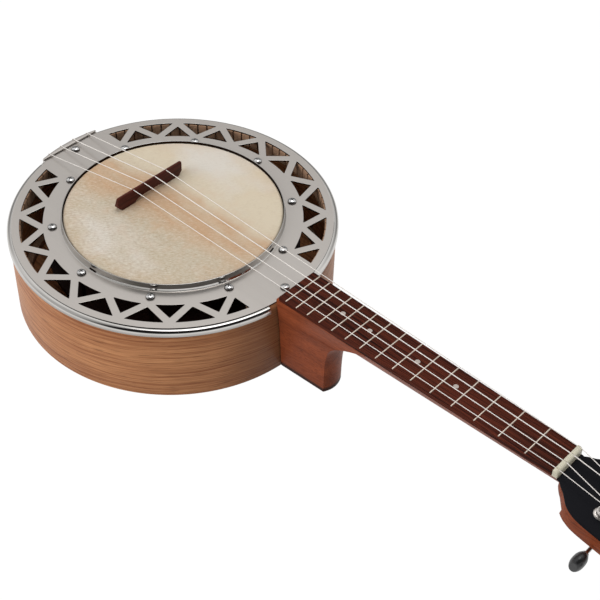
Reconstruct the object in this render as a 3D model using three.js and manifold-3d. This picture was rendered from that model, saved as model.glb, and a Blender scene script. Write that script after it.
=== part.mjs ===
// Banjo ukulele: wooden pot, pressed cover plate, tensioned skin and a bolted-on neck.
// Millimetres, +Z up through the skin, +Y along the neck to the headstock. The origin is the
// middle of the pot's back, which the instrument lies on. Heights inside the deck group count
// from the cover plate's top face, and lengths inside the head group from behind the nut.
import * as THREE from 'three';
import { mergeVertices } from 'three/addons/utils/BufferGeometryUtils.js';
import Module from 'manifold-3d';

const wasm = await Module();
wasm.setup();

// Whole instrument
const scaleLength = 432;
const bodyJointFret = 16;
const fretCount = 15;
const stringCount = 4;
const potRadius = 139.1;
const potDepth = 75.5;

// Clearances and drawing fineness
const fitGap = 0.3;
const seatGap = 0.15;
const cutOverrun = 5;
const mergeDistance = 1e-4;
const roundSides = 60;
const smallSides = 10;
const arcSteps = 2;

// Pot
const sideWall = 3.5;
const sideChamfer = 2;
const backThickness = 3;
const liningWidth = 6;
const topLiningHeight = 12.5;
const backLiningHeight = 6.5;
const kerfPitch = 8.4;
const kerfWidth = 1.4;
const kerfDepth = 4.2;
const neckBlockHalfWidth = 27;
const neckBlockDepth = 23;
const tailBlockHalfWidth = 22;
const tailBlockDepth = 17;

// Cover plate
const sheet = 1.3;
const plateOverhang = 1.7;
const plateEdgeRadius = 3.4;
const skirtDepth = 4.9;
const bandWidth = 45.1;
const collarHeight = 5.2;
const collarFillet = 1.4;
const stripHalfWidth = 36.3;
const cutOutPitch = 18;
const outerCutEdge = 10.6;
const outerCutDepth = 16.2;
const outerCutHalfAngle = 7;
const innerCutEdge = 14.9;
const innerCutDepth = 14.6;
const innerCutHalfAngle = 6.2;
const neckNotchMargin = 3.8;
const neckNotchStep = 1.2;

// Drum under the plate
const skinThickness = 0.5;
const skinHeight = 3.5;
const toneRingWall = 5;
const toneRingEdge = 1.5;
const toneRingDepth = 34;
const flangeThickness = 4.5;
const flangeWidth = 14.7;
const fleshHoopWidth = 4.4;
const fleshHoopHeight = 4.6;
const skinLap = 3.6;

// Screws
const screwRadius = 1.75;
const screwHeadRadius = 3.8;
const screwHeadHeight = 2.7;
const screwDriveSpan = 4.2;
const screwDriveWidth = 0.9;
const screwDriveDepth = 1.3;
const tensionScrewCount = 10;
const tensionScrewEdge = 7;
const tensionScrewTip = 2;
const plateScrewLength = 18;
const neckPlateScrewInset = 9.5;
const tailPlateScrewInset = 10.8;

// Tailpiece and its button
const lipHalfLength = 30.2;
const lipDepth = 5.5;
const lipRise = 1.4;
const saddleWidth = 3;
const saddleReach = 2;
const saddleDrop = 1;
const apronDepth = 36;
const apronShoulder = 8;
const apronFootHalfWidth = 9;
const buttonDrop = 24;
const buttonShankRadius = 2;
const buttonShankLength = 20;
const buttonRadius = 6.5;
const buttonLength = 10;

// Neck and heel
const neckTopHeight = 7.9;
const neckDepthAtNut = 16;
const neckDepthAtHeel = 23;
const neckFairLength = 190;
const neckArcSteps = 12;
const heelBottomGap = 0.8;
const heelHalfWidth = 12.9;
const heelEndReach = 45.8;
const heelCrown = 3.1;
const boltRadius = 3;
const boltHeadRadius = 5;
const boltHeadHeight = 6;
const boltHeadClearance = 2;
const boltReach = 20;

// Fretboard, frets and nut
const boardThickness = 3.2;
const boardNutHalfWidth = 15.25;
const boardEndHalfWidth = 20.7;
const boardEndGap = 0.5;
const boardCornerRadius = 1.6;
const fretInset = 0.35;
const fretCrownWidth = 2.1;
const fretCrownHeight = 1;
const tangWidth = 0.5;
const tangDepth = 1.2;
const nutThickness = 6.1;
const nutLead = 1.3;
const nutRise = 3.3;
const nutRound = 2.2;

// Headstock
const headAngle = 12;
const headLength = 131;
const headHalfWidth = 31.5;
const headWood = 13;
const faceThickness = 1.2;
const faceStart = 0.6;

// Strings: from the near side of the picture to the far side
const stringRadii = [0.3, 0.36, 0.43, 0.33];
const stringSides = 5;
const nutSpacing = 9.1;
const bridgeSpacing = 12.6;
const tailSpacing = 14.5;
const nutShift = -1.5;
const bridgeShift = -3;
const stringHeightAtNut = 13.7;
const stringHeightAtBridge = 17.7;
const knotRadius = 1.3;
const knotDrop = 7;
const windingTurns = 2;
const windingSteps = 14;
const windingPitch = 1.35;
const windingTop = 6.3;

// Bridge
const bridgeHalfLength = 37;
const bridgeFootEnd = 33;
const bridgeFootLength = 15;
const bridgeArchRise = 3.5;
const bridgeEndDrop = 10;
const bridgeCorner = 2;
const bridgeBase = 6.5;
const bridgeCrest = 3;
const bridgeSetback = 0.2;

// Tuners
const postOffset = 14.5;
const postPlaces = [36, 76];
const postRadius = 3;
const postRise = 8.6;
const gearRadius = 6.4;
const gearRoot = 5.3;
const gearTeeth = 12;
const gearThickness = 3.4;
const gearGap = 1.6;
const wormRadius = 2.9;
const wormRoot = 2.2;
const wormRidges = 3;
const wormLength = 9.4;
const shaftRadius = 1.6;
const tunerPlate = 1.2;
const tunerPlateHalfWidth = 9.3;
const tunerPlateMargin = 12;
const lugThickness = 2;
const lugHalfWidth = 3.2;
const lugHeight = 6.6;
const knobClearance = 2.5;
const knobCollarRadius = 2.9;
const knobCollarLength = 2.6;
const knobRadius = 8.2;
const knobLength = 13;
const knobFlatShare = 0.62;

// Places that follow from the sizes above
const degree = Math.PI / 180;
const plateRadius = potRadius + plateOverhang;
const collarRadius = plateRadius - bandWidth;
const tensionScrewCircle = collarRadius + tensionScrewEdge;
const jointShare = 2 ** (-bodyJointFret / 12);
const nutY = potRadius + scaleLength * (1 - jointShare);
const bridgeY = nutY - scaleLength;
const boardEndY = plateRadius + boardEndGap;
const boardTop = neckTopHeight + boardThickness;
const nutFrontY = nutY - nutLead;
const nutBackY = nutFrontY + nutThickness;
const woodTop = -sheet - seatGap;
const backTop = -potDepth + backThickness;
const innerRadius = potRadius - sideWall;
const blockRadius = innerRadius - fitGap - seatGap;
const liningRadius = innerRadius - fitGap;
const notchHalfWidth = boardEndHalfWidth + neckNotchMargin;
const skinOuter = collarRadius - sheet - fitGap;
const skinInner = skinOuter - skinThickness;
const toneRingRadius = skinInner - fitGap;
const toneRingTop = skinHeight - skinThickness - fitGap;
const hoopInner = skinOuter + fitGap;
const hoopOuter = hoopInner + fleshHoopWidth;
const hoopTop = -sheet - fitGap;
const hoopBottom = hoopTop - fleshHoopHeight;
const holeRadius = screwRadius + fitGap;
const lipTop = lipRise + sheet;
const boltHeight = -toneRingDepth - boltHeadClearance - boltHeadRadius;
const lipInnerY = lipDepth - plateRadius;
const headUnderside = -faceThickness - seatGap - headWood;
const wormOffset = gearRadius + wormRadius + fitGap;
const gearTop = headUnderside - seatGap - tunerPlate - gearGap;
const shaftDepth = gearTop - gearThickness / 2;

// Finishes
function finish(color, roughness, metalness) {
  return new THREE.MeshStandardMaterial({ color, roughness, metalness });
}
const sideWood = finish(0xa87a52, 0.5, 0);
const neckWood = finish(0x8a4b2c, 0.5, 0);
const paleWood = finish(0x8c6a4c, 0.8, 0);
const rosewood = finish(0x4a2119, 0.55, 0);
const blackWood = finish(0x1a1b1e, 0.4, 0);
const nickel = finish(0xb7b2ac, 0.25, 1);
const steel = finish(0xc9c9cc, 0.2, 1);
const skinFinish = finish(0xd9cbb0, 0.7, 0);
const bone = finish(0xd2cbb4, 0.5, 0);
const nylon = finish(0xe6dfda, 0.4, 0);
const knobBlack = finish(0x151515, 0.35, 0);

// Turning closed triangles into solids and back
function toSolid(geometry) {
  const bare = geometry.clone();
  bare.deleteAttribute('normal');
  bare.deleteAttribute('uv');
  const merged = mergeVertices(bare, mergeDistance);
  const corners = merged.attributes.position.array;
  const faces = [];
  let volume = 0;
  const [a, b, c] = [new THREE.Vector3(), new THREE.Vector3(), new THREE.Vector3()];
  for (let i = 0; i < merged.index.count; i += 3) {
    const face = [0, 1, 2].map((k) => merged.index.getX(i + k));
    if (face[0] === face[1] || face[1] === face[2] || face[2] === face[0]) continue;
    faces.push(face);
    a.fromArray(corners, face[0] * 3);
    b.fromArray(corners, face[1] * 3);
    c.fromArray(corners, face[2] * 3);
    volume += a.dot(b.cross(c));
  }
  const outward = volume < 0 ? faces.map((face) => face.reverse()) : faces;
  return new wasm.Manifold(new wasm.Mesh({
    numProp: 3,
    vertProperties: Float32Array.from(corners),
    triVerts: Uint32Array.from(outward.flat()),
  }));
}

function toGeometry(solid) {
  const mesh = solid.getMesh();
  const geometry = new THREE.BufferGeometry();
  geometry.setAttribute('position', new THREE.BufferAttribute(mesh.vertProperties, 3));
  geometry.setIndex(new THREE.BufferAttribute(mesh.triVerts, 1));
  geometry.computeVertexNormals();
  return geometry;
}

const joined = (...shapes) => shapes.map(toSolid).reduce((sum, next) => sum.add(next));
const cutBy = (solid, tools) => tools.map(toSolid).reduce((rest, tool) => rest.subtract(tool), solid);

// Shapes
function outline(points) {
  return new THREE.Shape(points.map(([x, y]) => new THREE.Vector2(x, y)));
}

function arc(radius, from, to, steps, centre = [0, 0]) {
  const points = [];
  for (let i = 0; i <= steps; i += 1) {
    const angle = from + ((to - from) * i) / steps;
    points.push([centre[0] + radius * Math.cos(angle), centre[1] + radius * Math.sin(angle)]);
  }
  return points;
}

// A closed [radius, height] profile turned round the Z axis
function turned(profile, sides = roundSides) {
  const loop = [...profile, profile[0]].map(([r, z]) => new THREE.Vector2(r, z));
  return new THREE.LatheGeometry(loop, sides).rotateX(Math.PI / 2);
}

// A flat outline in X and Y, raised from bottom to top
function slab(shape, bottom, top) {
  const options = { depth: top - bottom, bevelEnabled: false, curveSegments: arcSteps };
  return new THREE.ExtrudeGeometry(shape, options).translate(0, 0, bottom);
}

// A flat outline in X and Z, reaching from one Y to another
function wall(shape, from, to) {
  return slab(shape, -to, -from).rotateX(Math.PI / 2);
}

// A flat outline in Y and Z, reaching the same way to both sides of X
function bar(shape, halfLength) {
  const along = slab(shape, -halfLength, halfLength);
  return along.rotateX(Math.PI / 2).rotateZ(Math.PI / 2);
}

function box(x, y, z) {
  const [width, depth, height] = [x, y, z].map(([low, high]) => high - low);
  const [midX, midY, midZ] = [x, y, z].map(([low, high]) => (low + high) / 2);
  return new THREE.BoxGeometry(width, depth, height).translate(midX, midY, midZ);
}

function rodZ(radius, bottom, top, sides = smallSides) {
  const rod = new THREE.CylinderGeometry(radius, radius, top - bottom, sides);
  return rod.rotateX(Math.PI / 2).translate(0, 0, (top + bottom) / 2);
}

function rodY(radius, from, to, sides = smallSides) {
  return new THREE.CylinderGeometry(radius, radius, to - from, sides).translate(0, (to + from) / 2, 0);
}

// Sections with the same number of points, skinned one to the next and closed at both ends
function lofted(sections) {
  const count = sections[0].length;
  const points = sections.flat();
  const faces = [];
  for (let s = 0; s < sections.length - 1; s += 1) {
    for (let i = 0; i < count; i += 1) {
      const next = (i + 1) % count;
      const [a, b] = [s * count + i, s * count + next];
      const [c, d] = [a + count, b + count];
      faces.push(a, b, d, a, d, c);
    }
  }
  for (const [first, flip] of [[0, true], [points.length - count, false]]) {
    const middle = points.length;
    const sum = new THREE.Vector3();
    for (let i = 0; i < count; i += 1) sum.add(points[first + i]);
    points.push(sum.divideScalar(count));
    for (let i = 0; i < count; i += 1) {
      const [a, b] = [first + i, first + ((i + 1) % count)];
      faces.push(...(flip ? [b, a, middle] : [a, b, middle]));
    }
  }
  const geometry = new THREE.BufferGeometry().setFromPoints(points);
  geometry.setIndex(faces);
  geometry.computeVertexNormals();
  return geometry;
}

// A run through exact stations, so that long straights take no points
class StationPath extends THREE.Curve {
  constructor(stations) {
    super();
    this.stations = stations;
  }

  getPoint(t, target = new THREE.Vector3()) {
    const last = this.stations.length - 1;
    const place = Math.min(Math.max(t, 0), 1) * last;
    const from = Math.min(Math.floor(place), last - 1);
    return target.lerpVectors(this.stations[from], this.stations[from + 1], place - from);
  }

  getUtoTmapping(u) {
    return u;
  }
}

function cordAlong(stations, radius, sides) {
  const section = outline(arc(radius, 0, 2 * Math.PI, sides).slice(1));
  const options = { steps: stations.length - 1, extrudePath: new StationPath(stations) };
  return new THREE.ExtrudeGeometry(section, options);
}

// The instrument's groups
const instrument = new THREE.Group();
const deck = new THREE.Group();
deck.position.z = potDepth;
const head = new THREE.Group();
head.position.set(0, nutBackY, neckTopHeight);
head.rotation.x = -headAngle * degree;
deck.add(head);
instrument.add(deck);

function place(group, name, geometry, material) {
  const mesh = new THREE.Mesh(geometry, material);
  mesh.name = name;
  group.add(mesh);
  return mesh;
}

// Pot: bent side, let-in back, linings and blocks
function makePot() {
  const neckBore = rodY(boltRadius + fitGap, 0, potRadius + cutOverrun).translate(0, 0, boltHeight);
  const tailBore = rodY(buttonShankRadius + fitGap, -potRadius - cutOverrun, 0)
    .translate(0, 0, -buttonDrop);
  const side = turned([
    [innerRadius, -potDepth],
    [potRadius, -potDepth],
    [potRadius, woodTop - sideChamfer],
    [potRadius - sideChamfer, woodTop],
    [innerRadius, woodTop],
  ]);
  place(deck, 'side_shell', toGeometry(cutBy(toSolid(side), [neckBore, tailBore])), sideWood);
  const board = rodZ(liningRadius, -potDepth, backTop, roundSides);
  place(deck, 'back_board', board, sideWood);

  const ringBottom = backTop + seatGap;
  const ringTop = ringBottom + backLiningHeight;
  const ring = (inner, outer, bottom, top) =>
    turned([[inner, bottom], [outer, bottom], [outer, top], [inner, top]]);
  const liningInner = liningRadius - liningWidth;
  place(deck, 'back_lining', ring(liningInner, liningRadius, ringBottom, ringTop), paleWood);
  const ringRoom = ring(liningInner - fitGap, potRadius, ringBottom - cutOverrun, ringTop + seatGap);

  const block = (halfWidth, depth) => {
    const turn = Math.asin(halfWidth / blockRadius);
    const rim = arc(blockRadius, Math.PI / 2 + turn, Math.PI / 2 - turn, 2 * arcSteps);
    const flat = blockRadius - depth;
    return slab(outline([...rim, [halfWidth, flat], [-halfWidth, flat]]), ringBottom, woodTop);
  };
  const neckHole = rodZ(holeRadius, -plateScrewLength - cutOverrun, cutOverrun)
    .translate(0, potRadius - neckPlateScrewInset, 0);
  const tailHole = rodZ(holeRadius, -plateScrewLength - cutOverrun, cutOverrun)
    .translate(0, tailPlateScrewInset - potRadius, 0);
  const neckEnd = toSolid(block(neckBlockHalfWidth, neckBlockDepth));
  place(deck, 'neck_block', toGeometry(cutBy(neckEnd, [ringRoom, neckBore, neckHole])), paleWood);
  const tailEnd = toSolid(block(tailBlockHalfWidth, tailBlockDepth).rotateZ(Math.PI));
  place(deck, 'tail_block', toGeometry(cutBy(tailEnd, [ringRoom, tailBore, tailHole])), paleWood);

  makeTopLining('top_lining_near', 1);
  makeTopLining('top_lining_far', -1);
}

// A kerfed strip along one side of the pot, from the neck block to the tail block
function makeTopLining(name, sideSign) {
  const inner = liningRadius - liningWidth;
  const start = Math.PI / 2 - Math.asin((neckBlockHalfWidth + fitGap) / inner);
  const end = Math.asin((tailBlockHalfWidth + fitGap) / inner) - Math.PI / 2;
  const kerfCount = Math.round(((start - end) * inner) / kerfPitch);
  const pitch = (start - end) / kerfCount;
  const halfKerf = kerfWidth / inner / 2;
  const points = arc(liningRadius, end, start, roundSides / 2);
  points.push([inner * Math.cos(start), inner * Math.sin(start)]);
  for (let i = 0; i < kerfCount; i += 1) {
    const middle = start - (i + 0.5) * pitch;
    for (const [radius, side] of [[0, 1], [kerfDepth, 1], [kerfDepth, -1], [0, -1]]) {
      const angle = middle + side * halfKerf;
      points.push([(inner + radius) * Math.cos(angle), (inner + radius) * Math.sin(angle)]);
    }
  }
  points.push([inner * Math.cos(end), inner * Math.sin(end)]);
  const plan = outline(points.map(([x, y]) => [sideSign * x, y]));
  const strip = slab(plan, woodTop - topLiningHeight, woodTop);
  place(deck, name, strip, paleWood);
}

// The cut-outs: triangles with an arc for a base, standing on the outer and the inner circle
function cutOut(base, apex, halfAngle, centre) {
  const middle = Math.PI / 2 - centre * degree;
  const half = halfAngle * degree;
  const points = arc(base, middle - half, middle + half, arcSteps);
  points.push([apex * Math.cos(middle), apex * Math.sin(middle)]);
  return slab(outline(points), -sheet - cutOverrun, cutOverrun);
}

function makeCoverPlate() {
  const flatEdge = plateRadius - plateEdgeRadius;
  const bend = [flatEdge, -plateEdgeRadius];
  const rise = [collarRadius + collarFillet, collarFillet];
  const rim = sheet / 2;
  const quarter = Math.PI / 2;
  const profile = [
    ...arc(collarFillet, 3 * quarter, 2 * quarter, arcSteps, rise),
    ...arc(rim, 0, Math.PI, arcSteps, [collarRadius - rim, collarHeight - rim]),
    ...arc(collarFillet + sheet, 2 * quarter, 3 * quarter, arcSteps, rise),
    ...arc(plateEdgeRadius - sheet, quarter, 0, arcSteps, bend),
    [plateRadius - sheet, -skirtDepth],
    [plateRadius, -skirtDepth],
    ...arc(plateEdgeRadius, 0, quarter, arcSteps, bend),
  ];
  const outerBase = plateRadius - outerCutEdge;
  const outerApex = outerBase - outerCutDepth;
  const innerBase = collarRadius + innerCutEdge;
  const innerApex = innerBase + innerCutDepth;
  const cuts = [];
  const steps = 180 / cutOutPitch;
  for (const side of [1, -1]) {
    for (let i = 1; i < steps; i += 1) {
      cuts.push(cutOut(outerBase, outerApex, outerCutHalfAngle, side * i * cutOutPitch));
    }
    for (let i = 1; i < steps - 1; i += 1) {
      cuts.push(cutOut(innerBase, innerApex, innerCutHalfAngle, side * (i + 0.5) * cutOutPitch));
    }
  }
  const far = plateRadius + cutOverrun;
  const allHeights = [-skirtDepth - cutOverrun, collarHeight + cutOverrun];
  const strip = box([-stripHalfWidth, stripHalfWidth], [-far, far], allHeights);
  const windows = joined(...cuts).subtract(toSolid(strip));
  const notch = box([-notchHalfWidth, notchHalfWidth], [0, far], allHeights);
  const keptDisc = rodZ(potRadius - neckNotchStep, ...allHeights, roundSides);
  const lipEnd = lipHalfLength + fitGap;
  const edgeAtLip = Math.sqrt((plateRadius - sheet) ** 2 - lipEnd ** 2);
  const tailNotch = box([-lipEnd, lipEnd], [-far, fitGap - edgeAtLip], allHeights);
  const screwHoles = screwPlaces().map(([x, y]) => rodZ(holeRadius, ...allHeights).translate(x, y, 0));
  const plate = toSolid(turned(profile))
    .subtract(windows)
    .subtract(toSolid(notch).subtract(toSolid(keptDisc)));
  place(deck, 'cover_plate', toGeometry(cutBy(plate, [tailNotch, ...screwHoles])), nickel);
}

// Places of the screw heads on the plate: the tension circle first, then neck end and tail end
function screwPlaces() {
  const places = [];
  for (let i = 0; i < tensionScrewCount; i += 1) {
    const angle = Math.PI / 2 - ((i + 0.5) * 2 * Math.PI) / tensionScrewCount;
    places.push([tensionScrewCircle * Math.cos(angle), tensionScrewCircle * Math.sin(angle)]);
  }
  places.push([0, potRadius - neckPlateScrewInset], [0, tailPlateScrewInset - potRadius]);
  return places;
}

function screw(length) {
  const crown = screwHeadHeight / 2;
  const body = turned([
    [0, -length],
    [screwRadius, -length],
    [screwRadius, 0],
    [screwHeadRadius, 0],
    ...arc(1, 0, Math.PI / 2, arcSteps).slice(0, -1).map(([across, up]) =>
      [screwHeadRadius * across, screwHeadHeight - crown + crown * up]),
    [0, screwHeadHeight],
  ], smallSides);
  const half = screwDriveSpan / 2;
  const slit = screwDriveWidth / 2;
  const drive = [screwHeadHeight - screwDriveDepth, screwHeadHeight + cutOverrun];
  const cross = [box([-half, half], [-slit, slit], drive), box([-slit, slit], [-half, half], drive)];
  return toGeometry(cutBy(toSolid(body), cross));
}

function makeScrews() {
  const tensionLength = toneRingDepth + tensionScrewTip;
  screwPlaces().forEach(([x, y], i) => {
    const isTension = i < tensionScrewCount;
    const lastNames = ['plate_screw_neck', 'plate_screw_tail'];
    const name = isTension ? `tension_screw_${i + 1}` : lastNames[i - tensionScrewCount];
    const mesh = place(deck, name, screw(isTension ? tensionLength : plateScrewLength), steel);
    mesh.position.set(x, y, seatGap);
  });
}

// Drum: tone ring with its flange, flesh hoop, and the skin lapped over and round them
function makeDrum() {
  const quarter = Math.PI / 2;
  const edge = [toneRingRadius - toneRingEdge, toneRingTop - toneRingEdge];
  const ringInner = toneRingRadius - toneRingWall;
  const flangeTop = flangeThickness - toneRingDepth;
  const flangeOuter = toneRingRadius + flangeWidth;
  const ring = turned([
    [ringInner, -toneRingDepth],
    [flangeOuter, -toneRingDepth],
    [flangeOuter, flangeTop],
    [toneRingRadius, flangeTop],
    ...arc(toneRingEdge, 0, quarter, arcSteps / 2, edge),
    [ringInner, toneRingTop - toneRingEdge],
  ]);
  const threads = screwPlaces().slice(0, tensionScrewCount).map(([x, y]) =>
    rodZ(holeRadius, -toneRingDepth - cutOverrun, flangeTop + cutOverrun).translate(x, y, 0));
  place(deck, 'tone_ring', toGeometry(cutBy(toSolid(ring), threads)), blackWood);

  const hoop = turned([
    [hoopInner, hoopBottom], [hoopOuter, hoopBottom], [hoopOuter, hoopTop], [hoopInner, hoopTop],
  ]);
  place(deck, 'flesh_hoop', hoop, steel);

  const lapTop = hoopBottom + skinLap;
  const lapInner = hoopOuter + fitGap;
  const bedTop = hoopBottom - fitGap;
  const overEdge = toneRingEdge + fitGap;
  const skin = turned([
    [0, skinHeight - skinThickness],
    ...arc(overEdge, quarter, 0, arcSteps / 2, edge),
    [skinInner, bedTop - skinThickness],
    [lapInner + skinThickness, bedTop - skinThickness],
    [lapInner + skinThickness, lapTop],
    [lapInner, lapTop],
    [lapInner, bedTop],
    [skinOuter, bedTop],
    ...arc(overEdge + skinThickness, 0, quarter, arcSteps / 2, edge),
    [0, skinHeight],
  ]);
  place(deck, 'head_skin', skin, skinFinish);
}

// The button's profile: [share of its radius, share of its length]
const buttonShares = [[0.85, 0], [0.5, 0.3], [0.5, 0.5], [1, 0.65], [1, 0.85], [0.5, 1], [0, 1]];

// Tailpiece: a curved apron on the pot's end, turned over into a crescent lip with four saddles
function makeTailpiece() {
  const far = plateRadius + cutOverrun;
  const inner = plateRadius - sheet;
  const apronRing = turned([
    [inner, -apronDepth - cutOverrun],
    [plateRadius, -apronDepth - cutOverrun],
    [plateRadius, lipTop - sheet],
    [plateRadius - sheet / 2, lipTop],
    [inner, lipTop],
  ]);
  const front = outline([
    [-apronFootHalfWidth, -apronDepth],
    [apronFootHalfWidth, -apronDepth],
    [lipHalfLength, -apronShoulder],
    [lipHalfLength, lipTop + cutOverrun],
    [-lipHalfLength, lipTop + cutOverrun],
    [-lipHalfLength, -apronShoulder],
  ]);
  const apron = toSolid(apronRing).intersect(toSolid(wall(front, -far, 0)));
  const lipDisc = turned([[0, lipRise], [inner, lipRise], [inner, lipTop], [0, lipTop]]);
  const lipRoom = box([-lipHalfLength, lipHalfLength], [-far, lipInnerY], [0, lipTop + cutOverrun]);
  let tailpiece = apron.add(toSolid(lipDisc).intersect(toSolid(lipRoom)));
  for (let i = 0; i < stringCount; i += 1) {
    const x = stringX(i, tailSpacing, 0);
    const saddle = box(
      [x - saddleWidth / 2, x + saddleWidth / 2],
      [lipInnerY - saddleReach, lipInnerY + saddleReach],
      [lipRise - saddleDrop, lipTop],
    );
    tailpiece = tailpiece.add(toSolid(saddle));
  }
  const bore = rodY(buttonShankRadius + fitGap, -far, 0).translate(0, 0, -buttonDrop);
  place(deck, 'tailpiece', toGeometry(cutBy(tailpiece, [bore])), nickel);

  const button = turned([
    [0, -buttonShankLength],
    [buttonShankRadius, buttonShankRadius - buttonShankLength],
    [buttonShankRadius, 0],
    ...buttonShares.map(([across, along]) => [buttonRadius * across, buttonLength * along]),
  ], smallSides);
  const tailButton = place(deck, 'tail_button', button, steel);
  tailButton.position.set(0, -plateRadius - fitGap, -buttonDrop);
  tailButton.rotation.x = Math.PI / 2;
}

// Half the fretboard's width at a place along it
function boardHalfWidth(y) {
  const share = (nutY - y) / (nutY - boardEndY);
  return boardNutHalfWidth + (boardEndHalfWidth - boardNutHalfWidth) * share;
}

function neckDepth(y) {
  const share = Math.min((nutY - y) / (nutY - neckFairLength), 1);
  return neckDepthAtNut + (neckDepthAtHeel - neckDepthAtNut) * share;
}

// Past the nut the shaft runs out under the headstock: [reach as a share of the neck's depth,
// share of its half width, share of its depth]
const voluteShares = [[0.4, 0.93, 0.82], [0.9, 0.75, 0.7], [1.3, 0.45, 0.6]];

// The rounded back of the neck, one section for each place along it
function makeShaft() {
  const halfSection = (y, halfWidth, top, depth) => {
    const points = [];
    for (let i = 0; i <= neckArcSteps; i += 1) {
      const angle = (Math.PI * i) / neckArcSteps;
      const drop = depth * Math.sin(angle) ** 2;
      points.push(new THREE.Vector3(halfWidth * Math.cos(angle), y, top - drop));
    }
    return points;
  };
  const sections = [potRadius - cutOverrun, neckFairLength, (neckFairLength + nutY) / 2, nutBackY]
    .map((y) => halfSection(y, boardHalfWidth(y), neckTopHeight, neckDepth(y)));
  for (const [forwardShare, widthShare, depthShare] of voluteShares) {
    const y = nutBackY + forwardShare * neckDepthAtNut;
    const top = neckTopHeight - faceThickness - (y - nutBackY) * Math.tan(headAngle * degree) - seatGap;
    sections.push(halfSection(y, boardNutHalfWidth * widthShare, top, neckDepthAtNut * depthShare));
  }
  return lofted(sections);
}

// The heel, in level slices: [height, half width at the pot, reach, half width at the end, crown],
// each a share of neckTopHeight to heel bottom, heelHalfWidth, heelEndReach, heelHalfWidth, heelCrown
const heelShares = [
  [0, 1, 1, 0.85, 1],
  [0.24, 1.03, 0.995, 0.87, 1],
  [0.42, 1.07, 1.01, 0.9, 1],
  [0.56, 1.1, 1.055, 0.95, 0.95],
  [0.65, 1.14, 1.12, 1.02, 0.8],
  [0.71, 1.21, 1.21, 1.08, 0.5],
  [0.77, 1.32, 1.37, 0.94, 0.25],
  [0.85, 1.46, 1.62, 1.08, 0.15],
  [0.93, 1.55, 1.86, 1.28, 0.1],
  [1, 1.6, 2, 1.5, 0.05],
];

const heelAcrossShares = [-1, -0.55, 0, 0.55, 1];

function makeHeel() {
  const bottom = heelBottomGap - potDepth;
  const start = potRadius - cutOverrun;
  const sections = heelShares.map(([heightShare, potShare, reachShare, endShare, crownShare]) => {
    const z = bottom + (neckTopHeight - bottom) * heightShare;
    const cornerY = potRadius + heelEndReach * reachShare;
    const potHalf = Math.min(heelHalfWidth * potShare, boardHalfWidth(boardEndY));
    const endHalf = Math.min(heelHalfWidth * endShare, boardHalfWidth(cornerY));
    const points = [new THREE.Vector3(-potHalf, start, z), new THREE.Vector3(-potHalf, plateRadius, z)];
    for (const across of heelAcrossShares) {
      const crown = heelCrown * crownShare * (1 - across * across);
      points.push(new THREE.Vector3(endHalf * across, cornerY + crown, z));
    }
    points.push(new THREE.Vector3(potHalf, plateRadius, z), new THREE.Vector3(potHalf, start, z));
    return points.reverse();
  });
  return lofted(sections);
}

// Headstock outline: [share of its length, share of its half width], nut end first
const headShares = [
  [-0.02, 0.53], [0.03, 0.545], [0.05, 0.6], [0.075, 0.72], [0.11, 0.87], [0.16, 0.97], [0.24, 1],
  [0.45, 0.97], [0.7, 0.93], [0.86, 0.87], [0.94, 0.7], [0.98, 0.42], [1, 0],
];

function headOutline(start) {
  const side = headShares.map(([along, across]) => [across * headHalfWidth, along * headLength]);
  side[0][1] = start;
  const mirrored = side.slice(0, -1).reverse().map(([x, y]) => [-x, y]);
  return outline([...side, ...mirrored]);
}

function headToDeck(geometry) {
  return geometry.rotateX(-headAngle * degree).translate(0, nutBackY, neckTopHeight);
}

function makeNeck() {
  const slabTop = -faceThickness - seatGap;
  const headBlock = headToDeck(slab(headOutline(-nutThickness), headUnderside, slabTop));
  const neck = joined(makeShaft(), makeHeel(), headBlock);
  const potRoom = rodZ(potRadius + fitGap, -potDepth - cutOverrun, boardTop + cutOverrun, roundSides);
  const bolt = rodY(boltRadius + fitGap, 0, potRadius + boltReach + fitGap).translate(0, 0, boltHeight);
  const faceRoom = headToDeck(box(
    [-headHalfWidth - cutOverrun, headHalfWidth + cutOverrun],
    [faceStart - fitGap, headLength + cutOverrun],
    [slabTop, cutOverrun],
  ));
  const postBores = tunerPlaces().map(([x, y]) =>
    headToDeck(rodZ(postRadius + fitGap, headUnderside - cutOverrun, cutOverrun).translate(x, y, 0)));
  place(deck, 'neck', toGeometry(cutBy(neck, [potRoom, bolt, faceRoom, ...postBores])), neckWood);

  const faceBores = tunerPlaces().map(([x, y]) =>
    rodZ(postRadius + fitGap, -faceThickness - cutOverrun, cutOverrun).translate(x, y, 0));
  const face = cutBy(toSolid(slab(headOutline(faceStart), -faceThickness, 0)), faceBores);
  place(head, 'headstock_face', toGeometry(face), blackWood);

  const headY = blockRadius - neckBlockDepth - seatGap;
  const boltBody = turned([
    [0, -boltHeadHeight],
    [boltHeadRadius, -boltHeadHeight],
    [boltHeadRadius, 0],
    [boltRadius, 0],
    [boltRadius, potRadius + boltReach - headY],
    [0, potRadius + boltReach - headY],
  ], smallSides);
  const neckBolt = place(deck, 'neck_bolt', boltBody, steel);
  neckBolt.position.set(0, headY, boltHeight);
  neckBolt.rotation.x = -Math.PI / 2;
}

const fretY = (n) => bridgeY + scaleLength * 2 ** (-n / 12);

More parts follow.
